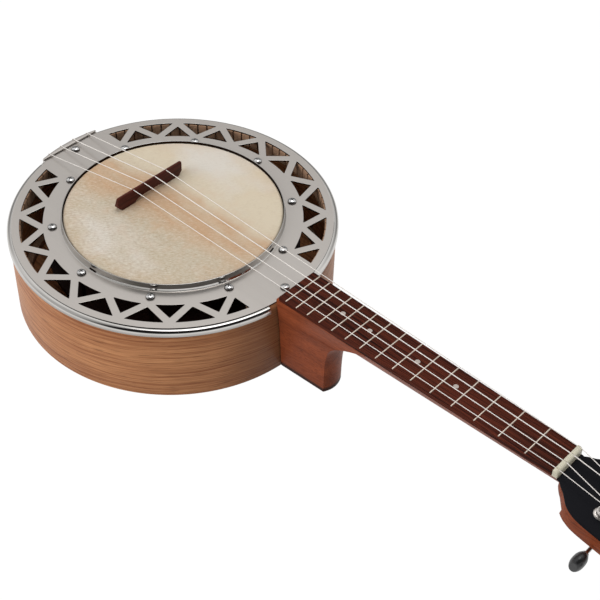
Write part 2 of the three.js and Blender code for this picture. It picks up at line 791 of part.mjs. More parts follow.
function makeFretboard() {
  const [end, nut] = [boardEndHalfWidth, boardNutHalfWidth];
  const corner = boardCornerRadius;
  const near = arc(corner, 0, -Math.PI / 2, 2 * arcSteps, [end - corner, boardEndY + corner]);
  const far = near.map(([x, y]) => [-x, y]).reverse();
  const nutEnd = nutFrontY - seatGap;
  const plan = outline([[nut, nutEnd], ...near, ...far, [-nut, nutEnd]]);
  const board = slab(plan, neckTopHeight + seatGap, boardTop);
  const slots = [];
  const slotHalf = tangWidth / 2 + fitGap;
  for (let n = 1; n <= fretCount; n += 1) {
    const y = fretY(n);
    slots.push(box([-end - cutOverrun, end + cutOverrun], [y - slotHalf, y + slotHalf],
      [boardTop - tangDepth - fitGap, boardTop + cutOverrun]));
  }
  place(deck, 'fretboard', toGeometry(cutBy(toSolid(board), slots)), rosewood);
}

function makeFrets() {
  const half = fretCrownWidth / 2;
  const tang = tangWidth / 2;
  const crown = arc(1, 0, Math.PI, 2 * arcSteps)
    .map(([across, up]) => [half * across, fretCrownHeight * up]);
  const section = outline([...crown, [-tang, 0], [-tang, -tangDepth], [tang, -tangDepth], [tang, 0]]);
  for (let n = 1; n <= fretCount; n += 1) {
    const wire = bar(section, boardHalfWidth(fretY(n)) - fretInset);
    place(deck, `fret_${n}`, wire, nickel).position.set(0, fretY(n), boardTop + seatGap);
  }
}

function makeNut() {
  const bottom = neckTopHeight + seatGap;
  const top = boardTop + nutRise;
  const round = arc(nutRound, 0, Math.PI / 2, 2 * arcSteps, [nutBackY - nutRound, top - nutRound]);
  const section = outline([[nutFrontY, bottom], [nutBackY, bottom], ...round, [nutFrontY, top]]);
  const slots = stringRadii.map((radius, i) => {
    const x = stringX(i, nutSpacing, nutShift);
    const room = radius + fitGap;
    const floor = stringHeightAtNut - room - (nutRound - radius) / 2;
    const along = [nutFrontY - cutOverrun, nutBackY + cutOverrun];
    return box([x - room, x + room], along, [floor, top + cutOverrun]);
  });
  const block = bar(section, boardNutHalfWidth);
  place(deck, 'nut', toGeometry(cutBy(toSolid(block), slots)), bone);
}

// Across the instrument: the place of one string out of the set
function stringX(i, spacing, shift) {
  return shift + spacing * ((stringCount - 1) / 2 - i);
}

const bridgeMidY = bridgeY - bridgeSetback;

function makeBridge() {
  const bottom = skinHeight + seatGap;
  const top = stringHeightAtBridge + fitGap;
  const foot = bridgeFootEnd - bridgeFootLength;
  const arch = [];
  const archSteps = 4 * arcSteps;
  for (let i = 0; i <= archSteps; i += 1) {
    const across = 1 - (2 * i) / archSteps;
    arch.push([foot * across, bottom + bridgeArchRise * Math.sqrt(1 - across ** 4)]);
  }
  const shoulder = bridgeHalfLength - bridgeCorner;
  const corner = arc(bridgeCorner, Math.PI / 2, 0, arcSteps, [shoulder, top - bridgeCorner]);
  const front = outline([
    ...corner,
    [bridgeHalfLength, top - bridgeEndDrop],
    [bridgeFootEnd, bottom],
    ...arch,
    [-bridgeFootEnd, bottom],
    [-bridgeHalfLength, top - bridgeEndDrop],
    ...corner.map(([x, z]) => [-x, z]).reverse(),
  ]);
  const neckFace = bridgeMidY + bridgeCrest / 2;
  const wedge = outline([
    [neckFace - bridgeBase, bottom - cutOverrun],
    [neckFace, bottom - cutOverrun],
    [neckFace, top + cutOverrun],
    [neckFace - bridgeCrest, top + cutOverrun],
    [neckFace - bridgeCrest, top],
    [neckFace - bridgeBase, bottom],
  ]);
  const body = toSolid(wall(front, neckFace - bridgeBase - cutOverrun, neckFace + cutOverrun))
    .intersect(toSolid(bar(wedge, bridgeHalfLength + cutOverrun)));
  const notches = stringRadii.map((radius, i) => {
    const x = stringX(i, bridgeSpacing, 0);
    const room = radius + fitGap;
    return box([x - room, x + room], [bridgeMidY - bridgeBase, bridgeMidY + bridgeBase],
      [stringHeightAtBridge - room, top + cutOverrun]);
  });
  place(deck, 'bridge', toGeometry(cutBy(body, notches)), rosewood).position.x = bridgeShift;
}

// Tuner posts: inner strings run to the far pair, outer strings to the near pair
function tunerPlaces() {
  const [first, second] = postPlaces;
  return [[postOffset, first], [postOffset, second], [-postOffset, second], [-postOffset, first]];
}

// One string: knot on the apron, over the lip, bridge and nut, then wound down its post
function stringStations(i) {
  const radius = stringRadii[i];
  const lift = fitGap + radius;
  const tailX = stringX(i, tailSpacing, 0);
  const nutX = stringX(i, nutSpacing, nutShift);
  const apronY = -Math.sqrt(plateRadius ** 2 - tailX ** 2) - lift;
  const lipZ = lipTop + lift;
  const turnRadius = sheet + lift;
  const quarter = Math.PI / 2;
  const lipCentre = [apronY + turnRadius, lipZ - turnRadius];
  const overLip = arc(turnRadius, 2 * quarter, quarter, 2 * arcSteps, lipCentre);
  const stations = [
    new THREE.Vector3(tailX, apronY, -knotDrop),
    ...overLip.map(([y, z]) => new THREE.Vector3(tailX, y, z)),
    new THREE.Vector3(tailX, lipInnerY + saddleReach + fitGap, lipZ),
    new THREE.Vector3(stringX(i, bridgeSpacing, bridgeShift), bridgeMidY, stringHeightAtBridge),
    new THREE.Vector3(nutX, nutFrontY, stringHeightAtNut),
    new THREE.Vector3(nutX, nutBackY - nutRound / 2, stringHeightAtNut - radius / 2),
  ];
  head.updateMatrix();
  const toHead = head.matrix.clone().invert();
  const leave = stations[stations.length - 1].clone().applyMatrix4(toHead);
  const [postX, postY] = tunerPlaces()[i];
  const side = Math.sign(postX);
  const winding = postRadius + lift;
  const reach = Math.hypot(leave.x - postX, leave.y - postY);
  const toLeave = Math.atan2(leave.y - postY, leave.x - postX);
  const touch = toLeave - side * Math.acos(winding / reach);
  const turns = Math.round(windingTurns * windingSteps);
  for (let k = 0; k <= turns; k += 1) {
    const angle = touch - (side * 2 * Math.PI * k) / windingSteps;
    const height = windingTop - (windingPitch * k) / windingSteps;
    const point = new THREE.Vector3(
      postX + winding * Math.cos(angle), postY + winding * Math.sin(angle), height);
    stations.push(point.applyMatrix4(head.matrix));
  }
  return stations;
}

// The least distance between the surfaces of one winding's turns
function leastGap(stations, radius) {
  let least = Infinity;
  const winding = stations.slice(-Math.round(windingTurns * windingSteps) - 2);
  for (let a = 0; a < winding.length; a += 1) {
    for (let b = a + Math.round(windingSteps / 2); b < winding.length; b += 1) {
      least = Math.min(least, winding[a].distanceTo(winding[b]) - 2 * radius);
    }
  }
  return least;
}

function makeStrings() {
  stringRadii.forEach((radius, i) => {
    const stations = stringStations(i);
    const knot = new THREE.SphereGeometry(knotRadius, smallSides / 2, smallSides / 2);
    knot.translate(stations[0].x, stations[0].y - knotRadius + radius, stations[0].z);
    const string = joined(cordAlong(stations, radius, stringSides), knot);
    place(deck, `string_${i + 1}`, toGeometry(string), nylon);
    console.log(`string_${i + 1}: least gap between turns ${leastGap(stations, radius).toFixed(2)} mm`);
  });
}

// One plate on the headstock's back, with two bearing lugs for each knob's shaft
function makeTunerPlate(name, side) {
  const top = headUnderside - seatGap;
  const bottom = top - tunerPlate;
  const [first, second] = postPlaces;
  const middle = side * postOffset;
  const across = [middle - tunerPlateHalfWidth, middle + tunerPlateHalfWidth];
  const along = [first - tunerPlateMargin, second + wormOffset + tunerPlateMargin / 2];
  let plate = toSolid(box(across, along, [bottom, top]));
  const cuts = [];
  for (const y of postPlaces) {
    const shaftY = y + wormOffset;
    const reach = wormLength / 2 + fitGap;
    for (const way of [-1, 1]) {
      const near = middle + way * reach;
      const ends = [near, near + way * lugThickness].sort((a, b) => a - b);
      const lug = box(ends, [shaftY - lugHalfWidth, shaftY + lugHalfWidth], [bottom - lugHeight, top]);
      plate = plate.add(toSolid(lug));
    }
    const bore = rodZ(shaftRadius + fitGap, -2 * postOffset, 2 * postOffset).rotateY(Math.PI / 2);
    cuts.push(bore.translate(middle, shaftY, shaftDepth));
    cuts.push(rodZ(postRadius + fitGap, bottom - cutOverrun, top + cutOverrun).translate(middle, y, 0));
  }
  place(head, name, toGeometry(cutBy(plate, cuts)), nickel);
}

// The knob's outline: [share of its radius, share of its length]
const knobShares = [[0, 0], [0.6, 0], [0.92, 0.22], [1, 0.5], [0.92, 0.78], [0.6, 1], [0, 1]];

// Knob, shaft and worm, turned about their own axis and laid across the headstock
function makeKnob(name, [x, y]) {
  const side = Math.sign(x);
  const wormEnd = wormLength / 2;
  const ridge = wormLength / (2 * wormRidges);
  const profile = [[0, -wormEnd - lugThickness - 2 * fitGap]];
  profile.push([shaftRadius, -wormEnd - lugThickness - 2 * fitGap], [shaftRadius, -wormEnd]);
  for (let i = 0; i < wormRidges; i += 1) {
    const low = -wormEnd + 2 * i * ridge;
    profile.push([wormRoot, low], [wormRadius, low + ridge]);
  }
  const knobStart = headHalfWidth + knobClearance - postOffset;
  profile.push([wormRoot, wormEnd], [shaftRadius, wormEnd], [shaftRadius, knobStart]);
  profile.push([knobCollarRadius, knobStart], [knobCollarRadius, knobStart + knobCollarLength]);
  profile.push([0, knobStart + knobCollarLength]);
  const shaft = turned(profile, smallSides);
  const wingStart = knobStart + knobCollarLength - seatGap;
  const wing = turned(
    knobShares.map(([across, along]) => [knobRadius * across, wingStart + knobLength * along]),
    smallSides,
  ).scale(1, knobFlatShare, 1);
  const mesh = place(head, name, toGeometry(joined(shaft, wing)), knobBlack);
  mesh.position.set(x, y + wormOffset, shaftDepth);
  mesh.rotation.y = (side * Math.PI) / 2;
}

// One tooth: [which of root and tip, share of the tooth's pitch]
const toothShares = [[0, 0], [1, 0.25], [1, 0.5], [0, 0.75]];

// String post with its gear wheel under the tuner plate
function makePost(name, [x, y]) {
  const points = [];
  for (let i = 0; i < gearTeeth; i += 1) {
    const start = (2 * Math.PI * i) / gearTeeth;
    const step = (2 * Math.PI) / gearTeeth;
    for (const [tip, share] of toothShares) {
      const radius = gearRoot + (gearRadius - gearRoot) * tip;
      points.push([radius * Math.cos(start + step * share), radius * Math.sin(start + step * share)]);
    }
  }
  const gear = slab(outline(points), gearTop - gearThickness, gearTop);
  const post = rodZ(postRadius, gearTop - gearThickness - seatGap, postRise);
  place(head, name, toGeometry(joined(gear, post)), steel).position.set(x, y, 0);
}

function makeTuners() {
  makeTunerPlate('tuner_plate_near', 1);
  makeTunerPlate('tuner_plate_far', -1);
  tunerPlaces().forEach((spot, i) => {
    makeKnob(`tuner_knob_${i + 1}`, spot);
    makePost(`tuner_post_${i + 1}`, spot);
  });
}

makePot();
makeCoverPlate();
makeDrum();
makeScrews();
makeTailpiece();
makeNeck();
makeFretboard();
makeFrets();
makeNut();
makeBridge();
makeStrings();
makeTuners();

export default instrument;
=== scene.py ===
"""Banjo ukulele: a wooden pot under a pierced nickel plate, a skin and a bolted-on neck.

Lengths are in metres. The deck is the height of the cover plate's top face.
"""

import math

import bmesh
import bpy
from bpy.props import FloatProperty, FloatVectorProperty, IntProperty, PointerProperty
from bpy.types import Operator, Panel, PropertyGroup
from mathutils import Matrix, Vector


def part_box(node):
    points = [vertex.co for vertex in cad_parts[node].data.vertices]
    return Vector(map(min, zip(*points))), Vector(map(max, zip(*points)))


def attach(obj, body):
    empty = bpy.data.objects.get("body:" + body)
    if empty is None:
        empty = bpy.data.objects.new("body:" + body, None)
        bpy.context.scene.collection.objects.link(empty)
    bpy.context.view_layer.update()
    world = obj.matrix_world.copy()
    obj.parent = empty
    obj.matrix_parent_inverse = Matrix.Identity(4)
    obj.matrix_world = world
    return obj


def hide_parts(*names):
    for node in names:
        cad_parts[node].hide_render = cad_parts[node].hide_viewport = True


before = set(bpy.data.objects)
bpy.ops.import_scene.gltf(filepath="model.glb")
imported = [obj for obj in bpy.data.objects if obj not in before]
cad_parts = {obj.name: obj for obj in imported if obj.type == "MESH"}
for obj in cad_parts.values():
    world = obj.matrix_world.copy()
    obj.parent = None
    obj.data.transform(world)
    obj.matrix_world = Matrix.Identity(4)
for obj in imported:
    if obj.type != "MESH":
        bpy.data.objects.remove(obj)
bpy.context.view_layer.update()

bl_info = {
    "name": "Banjo Ukulele",
    "version": (1, 0, 0),
    "blender": (4, 5, 0),
    "location": "View3D > Sidebar > Banjo Ukulele",
    "description": "Builds a banjo ukulele, piece by piece, around its packed frame",
    "category": "Add Mesh",
}

MM = 0.001
WELD = 0.002 * MM
ROOT = "instrument"
QUARTER = math.pi / 2
FULL_TURN = 2 * math.pi
SATIN = 0.82  # how metallic the brushed nickel is

# Sides of the turned pieces
POT_SIDES = 240
DRUM_SIDES = 200
HOOP_SIDES = 160
KNOB_SIDES = 48
POST_SIDES = 40
DOT_SIDES = 32
ROD_SIDES = 24


# Properties: every size and colour that a user would change

def size(label, text, millimetres):
    """A length, given in millimetres and kept in metres."""
    return FloatProperty(name=label, description=text, default=millimetres * MM, unit="LENGTH")


def turn(label, text, degrees):
    return FloatProperty(name=label, description=text, default=math.radians(degrees),
                         subtype="ANGLE")


def share(label, text, value):
    return FloatProperty(name=label, description=text, default=value, min=0, max=1,
                         subtype="FACTOR")


def count(label, text, number):
    return IntProperty(name=label, description=text, default=number, min=1)


def linear(level):
    """A screen level from 0 to 255 as linear light."""
    part = level / 255
    return part / 12.92 if part <= 0.04045 else ((part + 0.055) / 1.055) ** 2.4


def colour(label, text, *levels):
    default = [linear(level) for level in levels]
    return FloatVectorProperty(name=label, description=text, default=default, min=0, max=1,
                               subtype="COLOR")


class PotSettings(PropertyGroup):
    wall: size("Wall", "Thickness of the bent side", 3.5)
    chamfer: size("Top chamfer", "Slope on the side's upper rim", 2)
    rounding: size("Rounding", "Softened lower rim", 0.8)
    back: size("Back", "Thickness of the back board", 3)
    seam: size("Seam", "Line between side and back", 0.12)
    light: colour("Light grain", "Lighter side wood", 208, 148, 102)
    dark: colour("Dark grain", "Darker side wood", 142, 84, 52)
    inside: colour("Inside wood", "Bare wood of linings and blocks", 188, 150, 122)


class PlateSettings(PropertyGroup):
    sheet: size("Sheet", "Thickness of the pressed sheet", 1.3)
    seat: size("Seat", "Sheet above the pot's side", 0.15)
    ledge: size("Ledge", "Width of the ledge outside the flat", 0.7)
    step: size("Step", "Drop from the flat to the ledge", 0.7)
    edge: size("Edge radius", "Bend over the pot's rim", 3.4)
    skirt: size("Skirt", "Depth of the rim below the flat", 6.5)
    collar_height: size("Collar height", "Rise of the collar round the skin", 6.8)
    brim: size("Brim", "Thickness of the collar", 0.7)
    fillet: size("Collar fillet", "Bends between the flat, the flare and the collar", 0.4)
    flare: size("Flare", "Width of the slope at the collar's foot", 1.1)
    lean: turn("Lean", "Steepness of that slope", 66)
    crown: size("Collar crown", "Rounding of the collar's upper edges", 0.3)
    band: size("Band", "Width from the collar to the rim", 46.2)
    strip: size("Strip", "Half width of the solid strips at both ends", 36.3)
    pitch: turn("Pitch", "Angle between neighbouring cut-outs", 18)
    outer_edge: size("Outer base", "Rim to the outer cut-outs' bases", 10.6)
    outer_depth: size("Outer depth", "Base to tip of the outer cut-outs", 16.2)
    outer_half: turn("Outer half angle", "Half the outer cut-outs' bases", 7)
    inner_edge: size("Inner base", "Collar to the inner cut-outs' bases", 16)
    inner_depth: size("Inner depth", "Base to tip of the inner cut-outs", 14.6)
    inner_half: turn("Inner half angle", "Half the inner cut-outs' bases", 6.2)
    corner: size("Cut-out corner", "Rounding of the cut-outs' corners", 0.5)
    deburr: size("Deburr", "Softened edge of the cut-outs", 0.18)
    neck_notch: size("Neck notch", "Half width left open for the neck", 24.5)
    metal: colour("Satin nickel", "Brushed flat of the plate", 199, 193, 187)
    # Painted shade: this dark tint stands for shadow and dark reflections in the plate's crease,
    # collar, skirt and cut-out walls and on the screws' lower heads.
    painted_shade: colour("Shade_tint", "Shaded metal of edges and shanks", 52, 37, 27)
    bright: colour("Polished nickel", "Polished rim and collar", 205, 202, 198)


class DrumSettings(PropertyGroup):
    gap: size("Gap", "Clearance between the drum's pieces", 0.3)
    skin: size("Skin", "Thickness of the skin", 0.5)
    height: size("Skin height", "Skin above the plate, under the bridge", 3.5)
    dish: size("Dish", "The skin's rim above its middle", 2)
    wall: size("Ring wall", "Thickness of the tone ring", 5)
    edge: size("Ring edge", "Rounded edge under the skin", 1.5)
    depth: size("Ring depth", "Tone ring below the plate", 34)
    flange: size("Flange", "Thickness of the screws' flange", 4.5)
    flange_width: size("Flange width", "Reach of the flange", 15.8)
    hoop_width: size("Hoop width", "Width of the flesh hoop", 4.4)
    hoop_height: size("Hoop height", "Height of the flesh hoop", 4.6)
    lap: size("Lap", "Skin turned up round the hoop", 3.6)
    cream: colour("Cream", "Main colour of the skin", 209, 196, 173)
    tan: colour("Tan", "Warm bands in the skin", 192, 153, 117)
    pale: colour("Pale", "Thin pale patches", 213, 208, 200)


class ScrewSettings(PropertyGroup):
    tension: count("Tension screws", "Screws round the skin", 10)
    circle: size("Circle", "Collar to the tension screws", 8.1)
    neck_inset: size("Neck inset", "Pot's rim to the neck screw", 9.5)
    tail_inset: size("Tail inset", "Pot's rim to the tail screw", 10.8)
    seat: size("Seat", "Head above the plate", 0.1)
    length: size("Length", "Shank under the plate", 36)
    shank: size("Shank radius", "Radius of the shank", 1.75)
    head: size("Head radius", "Radius of the domed head", 3.8)
    dome: size("Head height", "Height of the domed head", 2.7)
    span: size("Recess span", "Length of the cross recess", 4.4)
    slit: size("Recess width", "Width of the cross recess", 0.95)
    recess: size("Recess depth", "Depth of the cross recess", 1.5)
    seed: count("Seed", "Order of the heads' turns", 7)
    steel: colour("Steel", "Polished screws and posts", 214, 213, 212)


class TailSettings(PropertyGroup):
    half: size("Half length", "Half the lip's length", 30.2)
    reach: size("Lip reach", "Rim to the lip's inner edge", 5.5)
    rise: size("Lip rise", "Slot under the lip", 0.7)
    sheet: size("Sheet", "Thickness of the bent sheet", 1)
    bend: size("Bend", "Radius of the bend over the rim", 1.6)
    saddle: size("Saddle width", "Width of a string's saddle", 3.4)
    saddle_reach: size("Saddle reach", "Saddle past the lip", 0.35)
    saddle_gap: size("Saddle gap", "Saddle above the plate", 0.05)
    depth: size("Apron depth", "Apron down the pot's end", 36)
    shoulder: size("Shoulder", "Apron's depth at its ends", 8)
    foot: size("Foot", "Half width of the apron's foot", 9)
    button_drop: size("Button height", "Plate to the button's middle", 24)
    button_radius: size("Button radius", "Radius of the strap button", 6.5)
    button_length: size("Button length", "Reach of the strap button", 10)


class NeckSettings(PropertyGroup):
    scale_length: size("Scale length", "Nut to bridge", 432)
    nut_lead: size("Nut lead", "Nut's front before its true place", 1.3)
    depth_nut: size("Depth at nut", "Neck below its top at the nut", 16)
    depth_heel: size("Depth at heel", "Neck below its top at the heel", 23)
    fair: size("Fair length", "Where the back stops growing", 190)
    heel_gap: size("Heel gap", "Heel above the pot's back", 0.8)
    heel_half: size("Heel half width", "Half width of the heel's foot", 12.9)
    heel_reach: size("Heel reach", "Pot to the heel's end", 45.8)
    crown: size("Heel crown", "Bulge of the heel's end", 3.1)
    rounding: size("Heel rounding", "Softened foot of the heel", 0.9)
    light: colour("Light grain", "Lighter neck wood", 164, 84, 50)
    dark: colour("Dark grain", "Darker neck wood", 84, 36, 20)


class BoardSettings(PropertyGroup):
    lift: size("Lift", "Rise of the fretboard's top towards the nut", 1.7)
    spread: size("Spread", "Fretboard past the nut's end", 0.6)
    corner: size("Corner", "Rounded corners at the pot", 1.6)
    easing: size("Easing", "Softened upper edge", 0.35)
    frets: count("Frets", "Number of frets", 15)
    fret_inset: size("Fret inset", "Fret's end inside the edge", 0.5)
    crown_width: size("Crown width", "Width of a fret's crown", 1.1)
    crown_height: size("Crown height", "Height of a fret's crown", 0.65)
    fret_shift: size("Fret shift", "Frets before their true places", 0.4)
    dot: size("Dot radius", "Radius of a position dot", 2.1)
    dot_shift: size("Dot shift", "Dots beside the middle", -1.2)
    light: colour("Light streak", "Lighter rosewood", 92, 42, 28)
    dark: colour("Dark streak", "Darker rosewood", 34, 14, 11)
    wire: colour("Fret wire", "Frets", 232, 218, 202)
    pearl: colour("Pearl", "Position dots", 200, 186, 176)
    bone: colour("Bone", "Nut", 212, 206, 184)
    nut_trim: size("Nut trim", "Nut's back in front of its place", 1.7)


class HeadSettings(PropertyGroup):
    tilt: turn("Tilt", "Headstock's angle below the neck", 12)
    length: size("Length", "Length of the headstock", 131)
    half: size("Half width", "Half the headstock's width", 31.5)
    wood: size("Wood", "Thickness under the face", 13)
    face: size("Face", "Thickness of the black face", 1.2)
    start: size("Face start", "Face in front of the nut's place", 1.65)
    gap: size("Glue line", "Between face and wood", 0.15)
    easing: size("Easing", "Softened edges", 1)
    black: colour("Black", "Headstock's face", 14, 14, 18)


class StringSettings(PropertyGroup):
    nut_spacing: size("Nut spacing", "Between strings at the nut", 9.1)
    bridge_spacing: size("Bridge spacing", "Between strings at the bridge", 12.6)
    tail_spacing: size("Tail spacing", "Between strings at the lip", 14.5)
    nut_shift: size("Nut shift", "Strings beside the middle at the nut", -1.5)
    bridge_shift: size("Bridge shift", "Strings beside the middle at the bridge", -3)
    nut_height: size("Nut height", "Strings over the plate at the nut", 13.7)
    bridge_height: size("Bridge height", "Strings over the plate at the bridge", 17.7)
    knot: size("Knot", "Radius of a tied end", 1.3)
    knot_drop: size("Knot drop", "Knot below the plate", 7)
    turns: count("Turns", "Turns round a post", 2)
    pitch: size("Pitch", "Climb of one turn", 1.35)
    top: size("Top turn", "First turn above the face", 6.3)
    nylon: colour("Strings", "Plain strings", 232, 226, 220)


class BridgeSettings(PropertyGroup):
    half: size("Half length", "Half the bridge's length", 37)
    foot_end: size("Foot end", "Middle to a foot's outer end", 33)
    foot: size("Foot", "Length of a foot", 15)
    arch: size("Arch", "Rise of the arch", 3.5)
    drop: size("End drop", "Height of the end faces", 10)
    corner: size("Corner", "Rounded upper corners", 2)
    base: size("Base", "Thickness at the foot", 6.5)
    crest: size("Crest", "Thickness at the top", 2)
    setback: size("Setback", "Bridge's middle behind its true place", 0.2)
    easing: size("Easing", "Softened edges", 0.6)
    light: colour("Light streak", "Lighter bridge wood", 88, 40, 31)
    dark: colour("Dark streak", "Darker bridge wood", 50, 20, 16)


class TunerSettings(PropertyGroup):
    offset: size("Offset", "Posts beside the middle", 14.5)
    first: size("First pair", "Nut to the first posts", 36)
    second: size("Second pair", "Nut to the second posts", 76)
    post: size("Post radius", "Radius of a string post", 3)
    rise: size("Post rise", "Post above the face", 8.6)
    ferrule: size("Ferrule", "Radius of a post's ferrule", 5.2)
    gear: size("Gear radius", "Outer radius of a wheel", 6.4)
    root: size("Gear root", "Root radius of a wheel", 5.3)
    teeth: count("Teeth", "Teeth of a wheel", 12)
    gear_thickness: size("Gear thickness", "Thickness of a wheel", 3.4)
    gear_gap: size("Gear gap", "Plate to wheel", 1.6)
    worm: size("Worm radius", "Outer radius of a worm", 2.9)
    worm_root: size("Worm root", "Root radius of a worm", 2.2)
    worm_length: size("Worm length", "Length of a worm", 9.4)
    ridges: count("Worm ridges", "Turns of a worm", 3)
    shaft: size("Shaft radius", "Radius of a knob's shaft", 1.6)
    plate: size("Plate", "Thickness of a mounting plate", 1.2)
    plate_half: size("Plate half width", "Half a mounting plate's width", 9.3)
    margin: size("Margin", "Plate past the posts", 12)
    lug: size("Lug", "Thickness of a bearing lug", 2)
    lug_half: size("Lug half width", "Half a lug's width", 3.2)
    lug_height: size("Lug height", "Lug below the plate", 6.6)
    clearance: size("Knob clearance", "Headstock's edge to the knob", 2.5)
    collar: size("Collar radius", "Radius of a knob's collar", 2.9)
    collar_length: size("Collar length", "Length of a knob's collar", 2.6)
    knob: size("Knob radius", "Half a knob's height", 8.2)
    knob_length: size("Knob length", "Length of a knob", 13)
    flat: share("Flatness", "Knob's thickness as a share of its height", 0.62)
    black: colour("Knob black", "Moulded knobs", 24, 24, 25)


class StageSettings(PropertyGroup):
    azimuth: turn("Azimuth", "Camera's place round the object", 131.005)
    elevation: turn("Elevation", "Camera's height over the object", 44.04)
    roll: turn("Roll", "Camera's turn about its own view", 2.272)
    camera_x: size("Camera X", "Camera's place", 563.975)
    camera_y: size("Camera Y", "Camera's place", 636.554)
    camera_z: size("Camera Z", "Camera's place", 795.342)
    lens: FloatProperty(name="Lens", description="Focal length in millimetres", default=77.813)
    floor: size("Floor", "Half width of the floor", 6000)
    daylight: share("Daylight", "Level of the light from all around", 0.6)
    room: turn("Dark side", "Direction of the studio's dark side", 150)
    shade: share("Shade", "Level of the studio's dark side in reflections", 0.02)


# Sets of shares, each chosen for one outline

# [height, half width at the pot, reach, half width at the end, crown] from foot to top
HEEL_SHARES = [
    [0, 1, 1, 0.85, 1],
    [0.24, 1.1, 0.995, 0.87, 1],
    [0.42, 1.18, 1.01, 0.9, 1],
    [0.56, 1.26, 1.055, 0.95, 0.95],
    [0.65, 1.32, 1.12, 1.01, 0.8],
    [0.71, 1.36, 1.21, 1.04, 0.5],
    [0.77, 1.41, 1.37, 1.02, 0.25],
    [0.85, 1.48, 1.62, 1.1, 0.15],
    [0.93, 1.55, 1.86, 1.28, 0.1],
    [1, 1.6, 2, 1.5, 0.05],
]
# [length, squareness] of the headstock's root, where the neck's round back turns flat
ROOT_SHARES = [
    [0.01, 0.4], [0.03, 0.62], [0.05, 0.76], [0.08, 0.88], [0.11, 0.96], [0.14, 1], [0.17, 1],
]
# [length, half width] of the headstock, nut end first
HEAD_SHARES = [
    [0.008, 0.49], [0.02, 0.54], [0.04, 0.6], [0.06, 0.655], [0.085, 0.75], [0.115, 0.86],
    [0.16, 0.95], [0.24, 1], [0.45, 0.97], [0.7, 0.93], [0.86, 0.87], [0.94, 0.7], [0.98, 0.42],
    [1, 0],
]
# [radius, length] of a knob and of the strap button
KNOB_SHARES = [[0, 0], [0.6, 0], [0.92, 0.22], [1, 0.5], [0.92, 0.78], [0.6, 1], [0, 1]]
BUTTON_SHARES = [[0.85, 0], [0.5, 0.3], [0.5, 0.5], [1, 0.65], [1, 0.85], [0.5, 1], [0, 1]]
# [root or tip, share of a tooth's pitch]
TOOTH_SHARES = [[0, 0], [1, 0.25], [1, 0.5], [0, 0.75]]
STRING_RADII = [0.3 * MM, 0.36 * MM, 0.43 * MM, 0.33 * MM]
DOT_FRETS = [5, 7, 10, 12]


class InstrumentSettings(PropertyGroup):
    pot: PointerProperty(type=PotSettings, name="Pot")
    plate: PointerProperty(type=PlateSettings, name="Cover plate")
    drum: PointerProperty(type=DrumSettings, name="Drum")
    screw: PointerProperty(type=ScrewSettings, name="Screws")
    tail: PointerProperty(type=TailSettings, name="Tailpiece")
    neck: PointerProperty(type=NeckSettings, name="Neck")
    board: PointerProperty(type=BoardSettings, name="Fretboard")
    head: PointerProperty(type=HeadSettings, name="Headstock")
    string: PointerProperty(type=StringSettings, name="Strings")
    bridge: PointerProperty(type=BridgeSettings, name="Bridge")
    tuner: PointerProperty(type=TunerSettings, name="Tuners")
    stage: PointerProperty(type=StageSettings, name="Stage")


# Places that the frame gives

def side_of(node, end, axis):
    """One coordinate of a node's box: end 0 is its lowest corner, end 1 its highest."""
    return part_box(node)[end][axis]


POT_RADIUS = side_of("side_shell", 1, 0)
PLATE_RADIUS = side_of("cover_plate", 1, 0)
NUT_FRONT = side_of("nut", 0, 1)
NUT_BACK = side_of("nut", 1, 1)
NUT_HALF = side_of("nut", 1, 0)
BOARD_END = side_of("fretboard", 0, 1)
BOARD_NUT_END = side_of("fretboard", 1, 1)
BOARD_TOP = side_of("fretboard", 1, 2)
BOARD_BOTTOM = side_of("fretboard", 0, 2)
BOARD_END_HALF = side_of("fretboard", 1, 0)
SIDE_TOP = side_of("side_shell", 1, 2)


class Layout:
    """Places worked out once from the settings and the frame."""

    def __init__(self, settings):
        plate, neck, head = settings.plate, settings.neck, settings.head
        self.deck = SIDE_TOP + plate.seat + plate.sheet
        self.collar = PLATE_RADIUS - plate.band
        self.throat = self.collar - plate.brim
        self.nut_y = NUT_FRONT + neck.nut_lead
        self.nut_back = NUT_BACK - settings.board.nut_trim
        self.bridge_y = self.nut_y - neck.scale_length
        self.neck_top = BOARD_BOTTOM - head.gap
        self.head = (Matrix.Translation((0, NUT_BACK, self.neck_top))
                     @ Matrix.Rotation(-head.tilt, 4, "X"))
        tuner = settings.tuner
        self.underside = -head.face - head.gap - head.wood
        self.gear_top = self.underside - head.gap - tuner.plate - tuner.gear_gap
        self.shaft_depth = self.gear_top - tuner.gear_thickness / 2
        self.worm_offset = tuner.gear + tuner.worm + settings.drum.gap

    def fret(self, settings, n):
        return self.bridge_y + settings.neck.scale_length * 2 ** (-n / 12)

    def board_half(self, y):
        part = (self.nut_y - y) / (self.nut_y - BOARD_END)
        return NUT_HALF + (BOARD_END_HALF - NUT_HALF) * part

    def board_top(self, board, y):
        part = max(y - BOARD_END, 0) / (self.nut_y - BOARD_END)
        return BOARD_TOP + board.lift * part

    def tuner_places(self, tuner):
        """[x, y] of the posts on the headstock, in the order of the strings."""
        x, first, second = tuner.offset, tuner.first, tuner.second
        return [(x, first), (x, second), (-x, second), (-x, first)]


def across(index, spacing, shift):
    """The place of one string out of the set across the instrument."""
    return shift + spacing * ((len(STRING_RADII) - 1) / 2 - index)


# Node building

def binary(operation, swapped=False):
    """An operator's method: one Math node on two values."""
    def method(self, other):
        return self.math(operation, *((other, self) if swapped else (self, other)))
    return method


